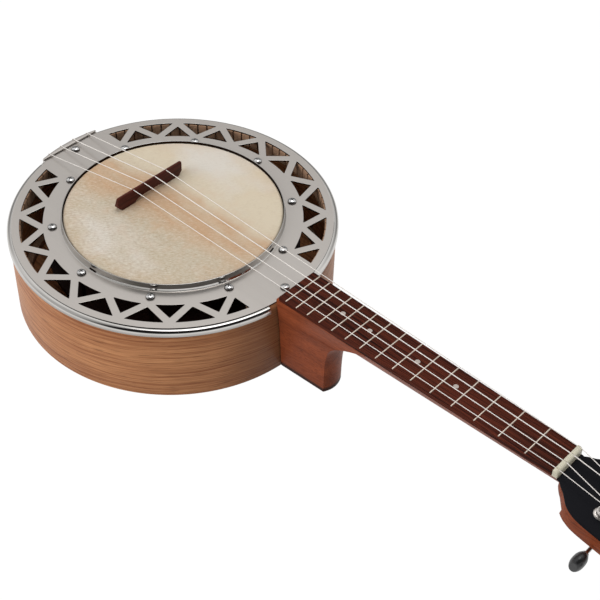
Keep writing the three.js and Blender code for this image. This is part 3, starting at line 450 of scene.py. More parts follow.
class Wire:
    """A node's output that takes part in Python expressions."""

    def __init__(self, nodes, socket):
        self.nodes = nodes
        self.socket = socket

    def __getitem__(self, name):
        return Wire(self.nodes, self.socket.node.outputs[name])

    def math(self, operation, *values):
        inputs = dict(enumerate(values))
        return self.nodes.node("ShaderNodeMath", {"operation": operation}, inputs)

    __add__ = __radd__ = binary("ADD")
    __sub__ = binary("SUBTRACT")
    __rsub__ = binary("SUBTRACT", swapped=True)
    __mul__ = __rmul__ = binary("MULTIPLY")
    __truediv__ = binary("DIVIDE")
    __pow__ = binary("POWER")
    __rpow__ = binary("POWER", swapped=True)
    __mod__ = binary("MODULO")
    __gt__ = binary("GREATER_THAN")
    __lt__ = binary("LESS_THAN")
    larger = binary("MAXIMUM")

    def size(self):
        return self.math("ABSOLUTE", self)

    def sine(self):
        return self.math("SINE", self)

    def between(self, low, high):
        """0 below low, 1 above high and an even ramp between them."""
        inputs = {"Value": self, "From Min": low, "From Max": high}
        return self.nodes.node("ShaderNodeMapRange", {"clamp": True}, inputs)


class Nodes:
    """Adds nodes to one tree."""

    def __init__(self, tree):
        self.tree = tree

    def feed(self, socket, value):
        if isinstance(value, Wire):
            self.tree.links.new(value.socket, socket)
        elif isinstance(value, (list, tuple)) and value and isinstance(value[0], Wire):
            for wire in value:
                self.tree.links.new(wire.socket, socket)
        elif socket.type == "RGBA":
            socket.default_value = (*tuple(value)[:3], 1)
        else:
            socket.default_value = value

    def node(self, kind, settings=None, sockets=None):
        """A node of one type, its settings made before its sockets are fed; its first output."""
        made = self.tree.nodes.new(kind)
        for name, value in (settings or {}).items():
            setattr(made, name, value)
        for name, value in (sockets or {}).items():
            if isinstance(name, int):
                self.feed(made.inputs[name], value)
            else:
                self.feed(next(s for s in made.inputs if s.name == name and s.enabled), value)
        return Wire(self, next(s for s in made.outputs if s.enabled))

    def vector(self, x, y, z):
        return self.node("ShaderNodeCombineXYZ", sockets={0: x, 1: y, 2: z})

    def split(self, vector):
        parts = self.node("ShaderNodeSeparateXYZ", sockets={0: vector})
        return parts["X"], parts["Y"], parts["Z"]


class Finish(Nodes):
    """A procedural material. Values that are the same all over go on the shader's own sockets."""

    def __init__(self, name, **even):
        self.material = bpy.data.materials.new(name)
        self.material.use_nodes = True
        super().__init__(self.material.node_tree)
        self.shader = self.tree.nodes["Principled BSDF"]
        for socket, value in even.items():
            self.shader.inputs[socket.replace("_", " ")].default_value = value

    def place(self, source="Object"):
        return self.node("ShaderNodeTexCoord")[source]

    def stretch(self, place, *scale):
        return self.node("ShaderNodeVectorMath", {"operation": "MULTIPLY"}, {0: place, 1: scale})

    def noise(self, place, scale=1.0, detail=2.0, roughness=0.5, distortion=0.0):
        inputs = {"Vector": place, "Scale": scale, "Detail": detail, "Roughness": roughness,
                  "Distortion": distortion}
        return self.node("ShaderNodeTexNoise", {}, inputs)

    def blend(self, factor, first, second):
        settings = {"data_type": "RGBA", "blend_type": "MIX", "clamp_factor": True}
        return self.node("ShaderNodeMix", settings, {"Factor": factor, "A": first, "B": second})

    def show(self, **values):
        for socket, value in values.items():
            self.feed(self.shader.inputs[socket.replace("_", " ")], value)

    def bump(self, height, distance, strength):
        inputs = {"Height": height, "Distance": distance, "Strength": strength}
        return self.node("ShaderNodeBump", {}, inputs)


def times(tint, level):
    """A colour made lighter or darker."""
    return [part * level for part in tint]


def wood(name, light, dark, width, length, spacing, look, axis=None, roughness=0.45,
         shine=0.12, where=None):
    """Straight-grained wood, its fibres along U or the axis; where gives the share of a darker
    tint, which on the pot's side is painted shade.

    width and length are a fibre's, look the shares of figure, fibre, line and pore.
    """
    finish = Finish(name, Specular_IOR_Level=shine)
    figure, contrast, line, pores = look
    place = finish.place("UV" if axis is None else "Object")
    if axis == "Y":
        x, y, z = finish.split(place)
        place = finish.vector(y, x, z)

    def streaks(place, along, across, detail, roughness=0.5):
        """Noise drawn out along the grain, its sizes as shares of a fibre's."""
        wide = across / width
        scaled = finish.stretch(place, along / length, wide, wide)
        return finish.noise(scaled, detail=detail, roughness=roughness)

    wander = streaks(place, 0.4, 0.03, 2)
    u, v, w = finish.split(place)
    bent = finish.vector(u, v + (wander - 0.5) * (spacing * 2.5), w)
    broad = streaks(bent, 0.3, 0.07, 3)
    fibre = streaks(bent, 1, 1, 5, 0.7)
    gaps = streaks(bent, 0.8, 0.25, 1)
    dashes = streaks(bent, 3, 1.3, 2)
    pore = dashes.between(0.58, 0.68) * pores
    phase = (v + w) * (FULL_TURN / spacing) + wander * 14 + broad * 5
    rings = (phase.sine() * 0.5 + 0.5) ** 5 * gaps.between(0.35, 0.6)
    mix = (broad - 0.5) * (figure * 2.5) + (fibre - 0.5) * (contrast * 2.5) + rings * line + 0.45
    tint = finish.blend(mix, light, dark)
    deep = times(dark, 0.35)
    tint = finish.blend(pore * 0.5, tint, deep)
    if where is not None:
        tint = finish.blend(where(finish), tint, deep)
    height = fibre * 0.5 - pore - rings * 0.3
    rough = fibre.between(0.2, 0.8) * 0.14 + (roughness - 0.07)
    finish.show(Base_Color=tint, Roughness=rough, Normal=finish.bump(height, 0.08 * MM, 0.5))
    return finish.material


def below(low, high):
    """A share that is 1 under one height and 0 over another."""
    return lambda finish: 1 - finish.split(finish.place())[2].between(low, high)


def satin_nickel(name, metal, painted_shade=None, where=None, level=None):
    """Brushed nickel with faint clouds; where gives the share of painted shade.

    With a level, only the face at that height is satin, and the rest is bare metal.
    """
    finish = Finish(name, Metallic=SATIN)
    place = finish.place()
    x, y, z = finish.split(place)
    lay = finish.vector(y, x, z)
    brush = finish.noise(finish.stretch(lay, 60, 2600, 2600), detail=3, roughness=0.6)
    long_brush = finish.noise(finish.stretch(lay, 8, 700, 700), detail=2)
    cloud = finish.noise(place, scale=14, detail=3)
    tone = (brush - 0.5) * 0.16 + (long_brush - 0.5) * 0.14 + (cloud - 0.5) * 0.08
    bright = [min(part, 1) for part in times(metal, 1.12)]
    tint = finish.blend(tone + 0.5, times(metal, 0.78), bright)
    if where is not None:
        tint = finish.blend(where(finish), tint, painted_shade)
    if level is not None:
        brushed = z.between(level - 0.2 * MM, level - 0.1 * MM)
        brushed = brushed * (1 - z.between(level + 0.1 * MM, level + 0.3 * MM))
        finish.show(Metallic=1 - brushed * (1 - SATIN))
    rough = (brush - 0.5) * 0.12 + (cloud - 0.5) * 0.06 + 0.31
    finish.show(Base_Color=tint, Roughness=rough, Normal=finish.bump(brush, 0.01 * MM, 0.35))
    return finish.material


def polished(name, metal, roughness=0.08, painted_shade=None, where=None, metallic=1.0):
    """Mirror-like metal with faint handling marks; where gives the share of painted shade."""
    finish = Finish(name, Metallic=metallic)
    place = finish.place()
    cloud = finish.noise(place, scale=60, detail=4)
    marks = finish.noise(finish.stretch(place, 900, 900, 900), detail=2)
    tint = finish.blend(cloud.between(0.3, 0.8), metal, times(metal, 0.9))
    rough = cloud.between(0.4, 0.8) * 0.05 + marks.between(0.5, 0.8) * 0.03 + roughness
    if where is not None:
        shade_share = where(finish)
        tint = finish.blend(shade_share, tint, painted_shade)
        rough = rough + shade_share * 0.3
    finish.show(Base_Color=tint, Roughness=rough)
    return finish.material


def speckled(name, tint, other, scale, rough, detail=2, relief=None, **even):
    """A plain surface between two tints and two roughnesses; scale has a number for each axis."""
    finish = Finish(name, **even)
    speck = finish.noise(finish.stretch(finish.place(), *scale), detail=detail)
    finish.show(Base_Color=finish.blend(speck, tint, other),
                Roughness=speck * (rough[1] - rough[0]) + rough[0])
    if relief is not None:
        finish.show(Normal=finish.bump(speck, relief, 0.4))
    return finish.material


# Meshes

def arc(radius, start, end, steps, centre=(0, 0)):
    points = []
    for i in range(steps + 1):
        angle = start + (end - start) * i / steps
        points.append((centre[0] + radius * math.cos(angle), centre[1] + radius * math.sin(angle)))
    return points


def smooth_through(points, steps):
    """More points on a soft curve through the given ones, of any dimension."""
    result = []
    last = len(points) - 1
    for i in range(last):
        before, a, b, after = (points[max(i - 1, 0)], points[i], points[i + 1],
                               points[min(i + 2, last)])
        for k in range(steps):
            t = k / steps
            result.append([0.5 * (2 * q + (r - p) * t + (2 * p - 5 * q + 4 * r - s) * t * t
                                  + (3 * q - p - 3 * r + s) * t ** 3)
                           for p, q, r, s in zip(before, a, b, after)])
    result.append(list(points[last]))
    return result


def area(plan):
    return sum(a[0] * b[1] - b[0] * a[1] for a, b in zip(plan, plan[1:] + plan[:1])) / 2


def anticlockwise(plan):
    return plan if area(plan) > 0 else plan[::-1]


def inset(plan, distance):
    """A closed outline moved inwards, each corner along its mitre."""
    moved = []
    for i, (x, y) in enumerate(plan):
        (px, py), (nx, ny) = plan[i - 1], plan[(i + 1) % len(plan)]
        before = Vector((y - py, px - x)).normalized()
        after = Vector((ny - y, x - nx)).normalized()
        mitre = (before + after) / max(1 + before.dot(after), 0.3)
        moved.append((x - mitre.x * distance, y - mitre.y * distance))
    return moved


def rounded(plan, radius, steps=3):
    """A closed outline with each sharp corner turned into a small curve."""
    result = []
    for i, corner in enumerate(plan):
        here = Vector(corner)
        back, on = Vector(plan[i - 1]) - here, Vector(plan[(i + 1) % len(plan)]) - here
        if back.angle(on) > math.radians(150):
            result.append(tuple(here))
            continue
        reach = min(radius / math.tan(back.angle(on) / 2), back.length / 2, on.length / 2)
        start, end = here + back.normalized() * reach, here + on.normalized() * reach
        for k in range(steps + 1):
            t = k / steps
            result.append(tuple(start.lerp(here, t).lerp(here.lerp(end, t), t)))
    return result


def skin_over(bm, loops, closed=True, caps=True):
    """Quads from each loop of points to the next, its ends closed with caps."""
    rows = [[bm.verts.new(point) for point in loop] for loop in loops]
    n = len(rows[0])
    for a, b in zip(rows, rows[1:]):
        for i in range(n if closed else n - 1):
            j = (i + 1) % n
            bm.faces.new((a[i], a[j], b[j], b[i]))
    if caps:
        bm.faces.new(rows[0][::-1])
        bm.faces.new(rows[-1])


def slab(plan, low, high, top_edge, low_edge=None):
    """An outline raised from low to high, its rims rounded."""
    plan, steps = anticlockwise(plan), 3
    low_edge = top_edge if low_edge is None else low_edge
    loops = []
    for edge, base, way in ((low_edge, low, 1), (top_edge, high, -1)):
        ring = []
        for k in range(steps + 1 if edge else 1):
            angle = QUARTER * k / steps
            offset = edge * (1 - math.sin(angle))
            ring.append([(x, y, base + way * edge * (1 - math.cos(angle)))
                         for x, y in (inset(plan, offset) if offset else plan)])
        loops += ring if way == 1 else ring[::-1]
    bm = bmesh.new()
    skin_over(bm, loops)
    return bm


def lathe(name, profile, sides, material, closed=False, crease=32):
    """A [radius, height] profile turned round Z. Its UV map runs round and along, in metres."""
    bm = bmesh.new()
    uv = bm.loops.layers.uv.new("UVMap")
    points = list(profile) + ([profile[0]] if closed else [])
    run = [0.0]
    for (r0, z0), (r1, z1) in zip(points, points[1:]):
        run.append(run[-1] + math.hypot(r1 - r0, z1 - z0))
    widest = max(r for r, z in points)
    rows = []
    for r, z in points:
        rows.append([bm.verts.new((r * math.sin(a), -r * math.cos(a), z))
                     for a in (FULL_TURN * i / sides for i in range(sides))])
    for k in range(len(points) - 1):
        for i in range(sides):
            j = (i + 1) % sides
            face = bm.faces.new((rows[k][i], rows[k][j], rows[k + 1][j], rows[k + 1][i]))
            around = [FULL_TURN * widest * (s / sides) for s in (i, i + 1, i + 1, i)]
            for loop, u, v in zip(face.loops, around, (run[k], run[k], run[k + 1], run[k + 1])):
                loop[uv].uv = (u, v)
    return piece_from(name, bm, material, crease)


def rectangle(low_x, high_x, low_y, high_y):
    return [(low_x, low_y), (high_x, low_y), (high_x, high_y), (low_x, high_y)]


def linked(name, data):
    """A new object in the scene."""
    thing = bpy.data.objects.new(name, data)
    bpy.context.scene.collection.objects.link(thing)
    return thing


def mesh_from(name, bm):
    mesh = bpy.data.meshes.new(name)
    bm.to_mesh(mesh)
    bm.free()
    return mesh


def coat(mesh, *materials):
    """The mesh's materials are these and no others; every face takes the first."""
    mesh.materials.clear()
    for material in materials:
        mesh.materials.append(material)


def piece_from(name, bm, material, crease=32, recalc=True):
    """A linked object from a bmesh, welded, with outward faces and smooth shading."""
    bmesh.ops.remove_doubles(bm, verts=bm.verts, dist=WELD)
    if recalc:
        bmesh.ops.recalc_face_normals(bm, faces=bm.faces)
    piece = linked(name, mesh_from(name, bm))
    coat(piece.data, material)
    shade(piece, crease)
    return piece


def shade(piece, crease=32):
    piece.data.shade_smooth()
    piece.data.set_sharp_from_angle(angle=math.radians(crease))


def evaluated(piece):
    """The mesh that a piece's modifiers or curve settings give."""
    bpy.context.view_layer.update()
    graph = bpy.context.evaluated_depsgraph_get()
    return bpy.data.meshes.new_from_object(piece.evaluated_get(graph))


def settle(piece):
    """The modifiers' result becomes the piece's own mesh."""
    mesh = evaluated(piece)
    piece.modifiers.clear()
    mesh.name = piece.name
    piece.data = mesh


def skinned(name, loops, material, crease=32):
    """A closed piece skinned over loops of points."""
    bm = bmesh.new()
    skin_over(bm, loops)
    return piece_from(name, bm, material, crease)


def modified(piece, kind, **settings):
    """The piece's mesh becomes what one modifier makes of it."""
    modifier = piece.modifiers.new(kind.lower(), kind)
    for name, value in settings.items():
        setattr(modifier, name, value)
    settle(piece)


def combine(piece, tool, operation):
    """A boolean of two pieces; the second one is used up."""
    modified(piece, "BOOLEAN", operation=operation, solver="MANIFOLD", object=tool)
    bpy.data.objects.remove(tool)


def eased(piece, width, segments=2):
    """Softened edges."""
    modified(piece, "BEVEL", width=width, segments=segments, limit_method="ANGLE",
             angle_limit=math.radians(35))
    shade(piece)
    return piece


def joined(name, parts):
    """Several pieces as one object, each keeping its materials."""
    bm = bmesh.new()
    materials = []
    for part in parts:
        start = len(bm.faces)
        bm.from_mesh(part.data)
        bm.faces.ensure_lookup_table()
        slots = []
        for material in part.data.materials:
            if material not in materials:
                materials.append(material)
            slots.append(materials.index(material))
        for face in bm.faces[start:]:
            face.material_index = slots[face.material_index] if slots else 0
    for part in parts:
        bpy.data.objects.remove(part)
    piece = linked(name, mesh_from(name, bm))
    for material in materials:
        piece.data.materials.append(material)
    return piece


def fixed(piece, body, slot, *nodes):
    """The piece rides on a body and stands for the nodes named."""
    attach(piece, body)
    if nodes:
        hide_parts(*nodes)


def dress(material, *nodes):
    """A carried-over node takes a material."""
    for node in nodes:
        coat(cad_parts[node].data, material)


# Geometry node trees

class GeometryTree(Nodes):
    """A node group with named inputs, whose result is realized and given a material."""

    def __init__(self, name, inputs):
        tree = bpy.data.node_groups.new(name, "GeometryNodeTree")
        super().__init__(tree)
        tree.interface.new_socket("Geometry", in_out="OUTPUT", socket_type="NodeSocketGeometry")
        self.values = {}
        for label, (kind, value) in inputs.items():
            socket = tree.interface.new_socket(label, in_out="INPUT", socket_type=kind)
            self.values[label] = (socket.identifier, value)
        self.source = tree.nodes.new("NodeGroupInput")
        self.sink = tree.nodes.new("NodeGroupOutput")

    def input(self, label):
        return Wire(self, self.source.outputs[label])

    def solid(self, label):
        """The mesh of an object input."""
        return self.node("GeometryNodeObjectInfo", {}, {"Object": self.input(label)})["Geometry"]

    def copies(self, points, instance, rotation=None, scale=None, selection=None):
        inputs = {"Points": points, "Instance": instance}
        for label, value in (("Rotation", rotation), ("Scale", scale), ("Selection", selection)):
            if value is not None:
                inputs[label] = value
        return self.node("GeometryNodeInstanceOnPoints", {}, inputs)

    def finish(self, geometry, material, other=None, where=None):
        """Real geometry with its material; other is that of the faces where a selection holds."""
        real = self.node("GeometryNodeRealizeInstances", {}, {"Geometry": geometry})
        done = self.node("GeometryNodeSetMaterial", {}, {"Geometry": real, "Material": material})
        if other is not None:
            done = self.node("GeometryNodeSetMaterial", {}, {
                "Geometry": done, "Material": other, "Selection": where})
        self.tree.links.new(done.socket, self.sink.inputs[0])

    def grow(self, name):
        """An object whose mesh is what the tree gives."""
        piece = linked(name, bpy.data.meshes.new(name))
        modifier = piece.modifiers.new(name, "NODES")
        modifier.node_group = self.tree
        for identifier, value in self.values.values():
            modifier[identifier] = value
        settle(piece)
        mesh = piece.data
        used = [material for material in mesh.materials if material is not None]
        places = [used.index(material) if material else 0 for material in mesh.materials]
        kept = [places[face.material_index] for face in mesh.polygons]
        coat(mesh, *used)
        mesh.polygons.foreach_set("material_index", kept)
        return piece


LENGTH = "NodeSocketFloat"
WHOLE = "NodeSocketInt"
THING = "NodeSocketObject"
SURFACE = "NodeSocketMaterial"


def numbered(tree, number):
    """Points at the origin, one for each copy."""
    return tree.node("GeometryNodePoints", {}, {"Count": number})


def order(tree):
    return tree.node("GeometryNodeInputIndex")


# Pot

def make_pot(settings, layout):
    pot = settings.pot
    outer, inner, soft = POT_RADIUS, POT_RADIUS - pot.wall, pot.rounding
    profile = [
        (inner, SIDE_TOP), (inner, 0),
        *arc(soft, -QUARTER, 0, 4, (outer - soft, soft)),
        (outer, SIDE_TOP - pot.chamfer), (outer - pot.chamfer, SIDE_TOP),
    ]

    # Painted shade: the side wood is darkened beside the heel, where the neck meets the pot.
    def painted_shade_by_heel(finish):
        return finish.split(finish.place())[1].between(outer - 19 * MM, outer - 1 * MM) * 0.55

    side_wood = wood("pot_wood", pot.light, pot.dark, 1.1 * MM, 60 * MM, 5 * MM,
                     (0.5, 0.95, 0.42, 1.1), where=painted_shade_by_heel)
    shell = lathe("pot_side", profile, POT_SIDES, side_wood, closed=True)
    fixed(shell, ROOT, "side_wood", "side_shell")

    back_wood = wood("back_wood", pot.light, pot.dark, 1.6 * MM, 80 * MM, 8 * MM,
                     (0.7, 0.75, 0.5, 0.6), axis="Y")
    rim, soft = inner - pot.seam, 0.4 * MM
    profile = [(0, 0), *arc(soft, -QUARTER, 0, 3, (rim - soft, soft)),
               (rim, pot.back), (0, pot.back)]
    back = lathe("pot_back", profile, POT_SIDES, back_wood)
    fixed(back, ROOT, "side_wood", "back_board")

    bare = wood("bare_wood", pot.inside, times(pot.inside, 0.5), 1.4 * MM, 50 * MM, 9 * MM,
                (0.5, 0.6, 0.3, 0.4), axis="Y", roughness=0.75)
    dress(bare, "top_lining_near", "top_lining_far", "back_lining", "neck_block", "tail_block")


# Cover plate

def cut_out(base, tip, half):
    """A triangle with an arc for its base, pointing along +Y."""
    return arc(base, QUARTER - half, QUARTER + half, 8) + [(0, tip)]


def clipped(plan, limit):
    """The part of an outline with x over the limit."""
    kept = []
    for (ax, ay), (bx, by) in zip(plan, plan[1:] + plan[:1]):
        if ax >= limit:
            kept.append((ax, ay))
        if (ax - limit) * (bx - limit) < 0:
            t = (limit - ax) / (bx - ax)
            kept.append((limit, ay + (by - ay) * t))
    return kept


def wire_loop(name, *plans):
    """Closed outlines as bare edges."""
    bm = bmesh.new()
    for plan in plans:
        verts = [bm.verts.new((x, y, 0)) for x, y in plan]
        for a, b in zip(verts, verts[1:] + verts[:1]):
            bm.edges.new((a, b))
    return bpy.data.objects.new(name, mesh_from(name, bm))


def rim_angles(notch_ends):
    """Angles of the plate's rings, the notches' ends among them."""
    even = [FULL_TURN * i / POT_SIDES for i in range(POT_SIDES)]
    spare = FULL_TURN / POT_SIDES / 3
    kept = [a for a in even if all(abs(a - end) > spare for end in notch_ends)]
    return sorted(kept + notch_ends)


def rim_strips(bm, profile, angles, open_at):
    """A profile swept round the angles, apart from the spans that are open, with closed ends."""
    for start, end in zip(angles, angles[1:] + [angles[0] + FULL_TURN]):
        if open_at((start + end) / 2):
            continue
        rings = [[bm.verts.new((r * math.cos(a), r * math.sin(a), z)) for r, z in profile]
                 for a in (start, end)]
        for k in range(len(profile) - 1):
            bm.faces.new((rings[0][k], rings[1][k], rings[1][k + 1], rings[0][k + 1]))
        half = (end - start) / 2
        if open_at(start - half):
            bm.faces.new(rings[0])
        if open_at(end + half):
            bm.faces.new(rings[1][::-1])


def make_plate(settings, layout):
    plate, tail = settings.plate, settings.tail
    sheet, step, deck = plate.sheet, plate.step, layout.deck
    flat = PLATE_RADIUS - plate.edge - plate.ledge
    collar, fillet = layout.collar, plate.fillet
    start = collar + plate.flare
    neck_turn = math.asin(plate.neck_notch / flat)
    tail_turn = math.asin((tail.half + settings.drum.gap) / flat)
    tail_line = -math.sqrt((PLATE_RADIUS - sheet) ** 2 - tail.half ** 2)
    ends = [QUARTER - neck_turn, QUARTER + neck_turn,
            3 * QUARTER - tail_turn, 3 * QUARTER + tail_turn]
    angles = rim_angles(ends)

    def open_at(angle):
        angle %= FULL_TURN
        return ends[0] < angle < ends[1] or ends[2] < angle < ends[3]

    bend, soft = (PLATE_RADIUS - plate.edge, -step - plate.edge), 0.2 * MM
    outer_profile = [
        (flat, 0), (flat + soft, -soft), (flat + soft, -step),
        *arc(plate.edge, QUARTER, 0, 10, bend), (PLATE_RADIUS, 2 * soft - plate.skirt),
        (PLATE_RADIUS - 2 * soft, -plate.skirt), (PLATE_RADIUS - sheet, -plate.skirt),
        *arc(plate.edge - sheet, 0, QUARTER, 6, bend), (flat, -sheet),
    ]
    foot = (start, fillet)
    shoulder = (collar + fillet, fillet + (plate.flare - fillet) * math.tan(plate.lean))
    crown, crest, lean = plate.crown, plate.collar_height - plate.crown, 3 * QUARTER - plate.lean
    inner_profile = [
        *arc(fillet, 3 * QUARTER, lean, 4, foot), *arc(fillet, lean, 2 * QUARTER, 3, shoulder),
        *arc(crown, 0, QUARTER, 4, (collar - crown, crest)),
        *arc(crown, QUARTER, 2 * QUARTER, 4, (layout.throat + crown, crest)),
        *arc(fillet + plate.brim, 2 * QUARTER, lean, 3, shoulder),
        *arc(fillet + sheet, lean, 3 * QUARTER, 4, foot),
    ]
    bm = bmesh.new()
    rim_strips(bm, outer_profile, angles, open_at)
    rim_strips(bm, inner_profile, angles, lambda angle: False)

    def painted_shade_spots(finish):
        """Painted shade on the collar's inside, in the crease beside the flat and on the skirt's
        lower edge.
        """
        x, y, z = finish.split(finish.place())
        reach = (x * x + y * y) ** 0.5
        inside = 1 - reach.between(layout.throat + 0.03 * MM, layout.throat + 0.15 * MM)
        crease = 1 - reach.between(flat + soft + 0.05 * MM, flat + soft + 0.2 * MM)
        crease = crease * (1 - z.between(deck - 0.5 * MM, deck - soft))
        low = 1 - z.between(deck - plate.skirt, deck - 3 * MM)
        side = 1 - z.between(deck - 4.4 * MM, deck - 3.2 * MM)
        return inside.larger(crease).larger(low * 0.25 + side * 0.2)

    # The polished rim and collar go towards the dark tint where shade and dark reflections fall:
    # painted shade.
    bright = polished("polished_nickel", plate.bright, 0.07, plate.painted_shade, painted_shade_spots)
    rims = piece_from("rims", bm, bright, recalc=False)

    outer = []
    for a in angles:
        if a == ends[3]:
            outer += [(-tail.half, tail_line), (tail.half, tail_line)]
        if not ends[2] < a < ends[3]:
            outer.append((flat * math.cos(a), flat * math.sin(a)))
    inner = [(start * math.cos(a), start * math.sin(a)) for a in angles]
    base, low = PLATE_RADIUS - plate.outer_edge, collar + plate.inner_edge
    triangle = cut_out(base, base - plate.outer_depth, plate.outer_half)
    turn_by = Matrix.Rotation(-plate.pitch, 2)
    loops = {"Border": wire_loop("border", outer, inner)}
    for label, plan in (
        ("Outer cut-out", triangle),
        ("Inner cut-out", cut_out(low, low + plate.inner_depth, plate.inner_half)),
        ("End cut-out", clipped([tuple(turn_by @ Vector(p)) for p in triangle], plate.strip)),
    ):
        loops[label] = wire_loop(label, rounded(anticlockwise(plan), plate.corner))
    # Painted shade: every face under the flat, the cut-outs' walls and softened edges, turns to
    # the dark tint.
    nickel = satin_nickel("brushed_nickel", plate.metal, plate.painted_shade,
                          below(deck - 0.12 * MM, deck - 0.03 * MM), level=deck)
    tree = pierced_plate(loops, rims, settings, (start, flat), (nickel, bright))
    piece = tree.grow("cover_plate_pressed")
    for thing in [*loops.values(), rims]:
        bpy.data.objects.remove(thing)
    modified(piece, "BEVEL", width=plate.deburr, segments=2, limit_method="WEIGHT")
    piece.data.transform(Matrix.Translation((0, 0, deck)))
    shade(piece, 30)
    for face in piece.data.polygons:
        face.use_smooth = abs(face.normal.z) <= 0.9999
    fixed(piece, ROOT, "satin_nickel", "cover_plate")


def pierced_plate(loops, rims, settings, limits, metals):
    """The flat between two circles, with cut-outs repeated round both sides."""
    plate = settings.plate
    tree = GeometryTree("pierced_plate", {
        **{label: (THING, thing) for label, thing in loops.items()},
        "Rims": (THING, rims),
        "Pitch": (LENGTH, plate.pitch),
        "Steps": (WHOLE, round(math.pi / plate.pitch)),
        "Sheet": (LENGTH, plate.sheet),
        "Flat start": (LENGTH, limits[0]),
        "Flat end": (LENGTH, limits[1]),
        "Neck notch": (LENGTH, plate.neck_notch),
        "Brushed": (SURFACE, metals[0]),
        "Polished": (SURFACE, metals[1]),
    })
    pitch, number = tree.input("Pitch"), tree.input("Steps")
    index = order(tree)
    points = numbered(tree, number * 2)
    place = index % number
    outer = tree.copies(points, tree.solid("Outer cut-out"),
                        rotation=tree.vector(0.0, 0.0, index * pitch * -1),
                        selection=(place > 1.5) * (place < number - 1.5))
    inner = tree.copies(points, tree.solid("Inner cut-out"),
                        rotation=tree.vector(0.0, 0.0, (index + 0.5) * pitch * -1),
                        selection=(place > 0.5) * (place < number - 1.5))
    corners = numbered(tree, 4)
    flip_x = (index % 2) * -2 + 1
    flip_y = (index > 1.5) * -2 + 1
    ends = tree.copies(corners, tree.solid("End cut-out"), scale=tree.vector(flip_x, flip_y, 1.0))
    every = tree.node("GeometryNodeJoinGeometry", {}, {
        "Geometry": [tree.solid("Border"), outer, inner, ends]})
    real = tree.node("GeometryNodeRealizeInstances", {}, {"Geometry": every})
    outline = tree.node("GeometryNodeMeshToCurve", {}, {"Mesh": real})
    face = tree.node("GeometryNodeFillCurve", {}, {"Curve": outline})
    pushed = tree.node("GeometryNodeExtrudeMesh", {}, {
        "Mesh": face, "Offset": tree.vector(0.0, 0.0, -1.0), "Offset Scale": tree.input("Sheet"),
        "Individual": False})
    lower = tree.node("GeometryNodeFlipFaces", {}, {"Mesh": pushed})
    spot = tree.node("GeometryNodeInputPosition")
    x, y, z = tree.split(spot)
    reach = (x * x + y * y) ** 0.5
    tiny = 0.15 * MM
    on_rim = ((reach - tree.input("Flat end")).size() < tiny).larger(
        (reach - tree.input("Flat start")).size() < tiny)
    neck_open = (y > 0) * (x.size() < tree.input("Neck notch") - tiny)
    upright = (z < -tiny) * (z > tree.input("Sheet") * -1 + tiny)
    spare = on_rim * (1 - neck_open) * upright
    trimmed = tree.node("GeometryNodeDeleteGeometry", {"domain": "FACE"}, {
        "Geometry": lower, "Selection": spare})
    shut = tree.node("GeometryNodeJoinGeometry", {}, {
        "Geometry": [face, trimmed, tree.solid("Rims")]})
    welded = tree.node("GeometryNodeMergeByDistance", {}, {"Geometry": shut, "Distance": WELD})
    bend = tree.node("GeometryNodeInputMeshEdgeAngle")["Unsigned Angle"]
    flat_side = (reach < tree.input("Flat end") - tiny) * (reach > tree.input("Flat start") + tiny)
    weighted = tree.node("GeometryNodeStoreNamedAttribute", {
        "data_type": "FLOAT", "domain": "EDGE"}, {
        "Geometry": welded, "Name": "bevel_weight_edge", "Value": (bend > 1.2) * flat_side})
    tree.finish(weighted, tree.input("Brushed"), tree.input("Polished"), 1 - flat_side)
    return tree


# Drum

def make_drum(settings, layout):
    drum, sheet, deck = settings.drum, settings.plate.sheet, layout.deck
    gap, thin = drum.gap, drum.skin
    outer = layout.throat - gap
    inner = outer - thin
    ring = inner - gap
    top = deck + drum.height + drum.dish - thin - gap
    bottom = deck - drum.depth
    edge = (ring - drum.edge, top - drum.edge)
    shelf = bottom + drum.flange
    hoop_in = outer + gap
    hoop_out = hoop_in + drum.hoop_width
    hoop_top = deck - sheet - gap
    hoop_low = hoop_top - drum.hoop_height

    black = speckled("ring_coat", (0.014, 0.005, 0.004), (0.03, 0.014, 0.01), (900,) * 3,
                     (0.45, 0.65), detail=3, relief=0.05 * MM, Specular_IOR_Level=0.2)
    profile = [
        (ring - drum.wall, bottom), (ring + drum.flange_width, bottom),
        (ring + drum.flange_width, shelf), (ring, shelf),
        *arc(drum.edge, 0, QUARTER, 6, edge), (ring - drum.wall, top - drum.edge),
    ]
    piece = lathe("tone_ring_cast", profile, DRUM_SIDES, black, closed=True)
    fixed(piece, ROOT, "cast_ring", "tone_ring")

    steel = polished("hoop_steel", settings.screw.steel, 0.15)
    profile = rectangle(hoop_in, hoop_out, hoop_low, hoop_top)
    hoop = eased(lathe("skin_hoop", profile, HOOP_SIDES, steel, closed=True), 0.4 * MM)
    fixed(hoop, ROOT, "polished_steel", "flesh_hoop")

    bed = hoop_low - gap
    lap_in = hoop_out + gap
    over = drum.edge + gap
    skin_top = deck + drum.height
    profile = [
        (0, skin_top - thin), (outer * 0.45, skin_top - thin),
        *arc(over, QUARTER, 0, 6, edge), (inner, bed - thin),
        (lap_in + thin, bed - thin), (lap_in + thin, hoop_low + drum.lap),
        (lap_in, hoop_low + drum.lap), (lap_in, bed), (outer, bed),
        *arc(over + thin, 0, QUARTER, 8, edge), (outer * 0.45, skin_top),
        (0, skin_top),
    ]
    skin = lathe("drum_skin", profile, DRUM_SIDES, calf_skin(drum))
    fixed(skin, ROOT, "skin", "head_skin")


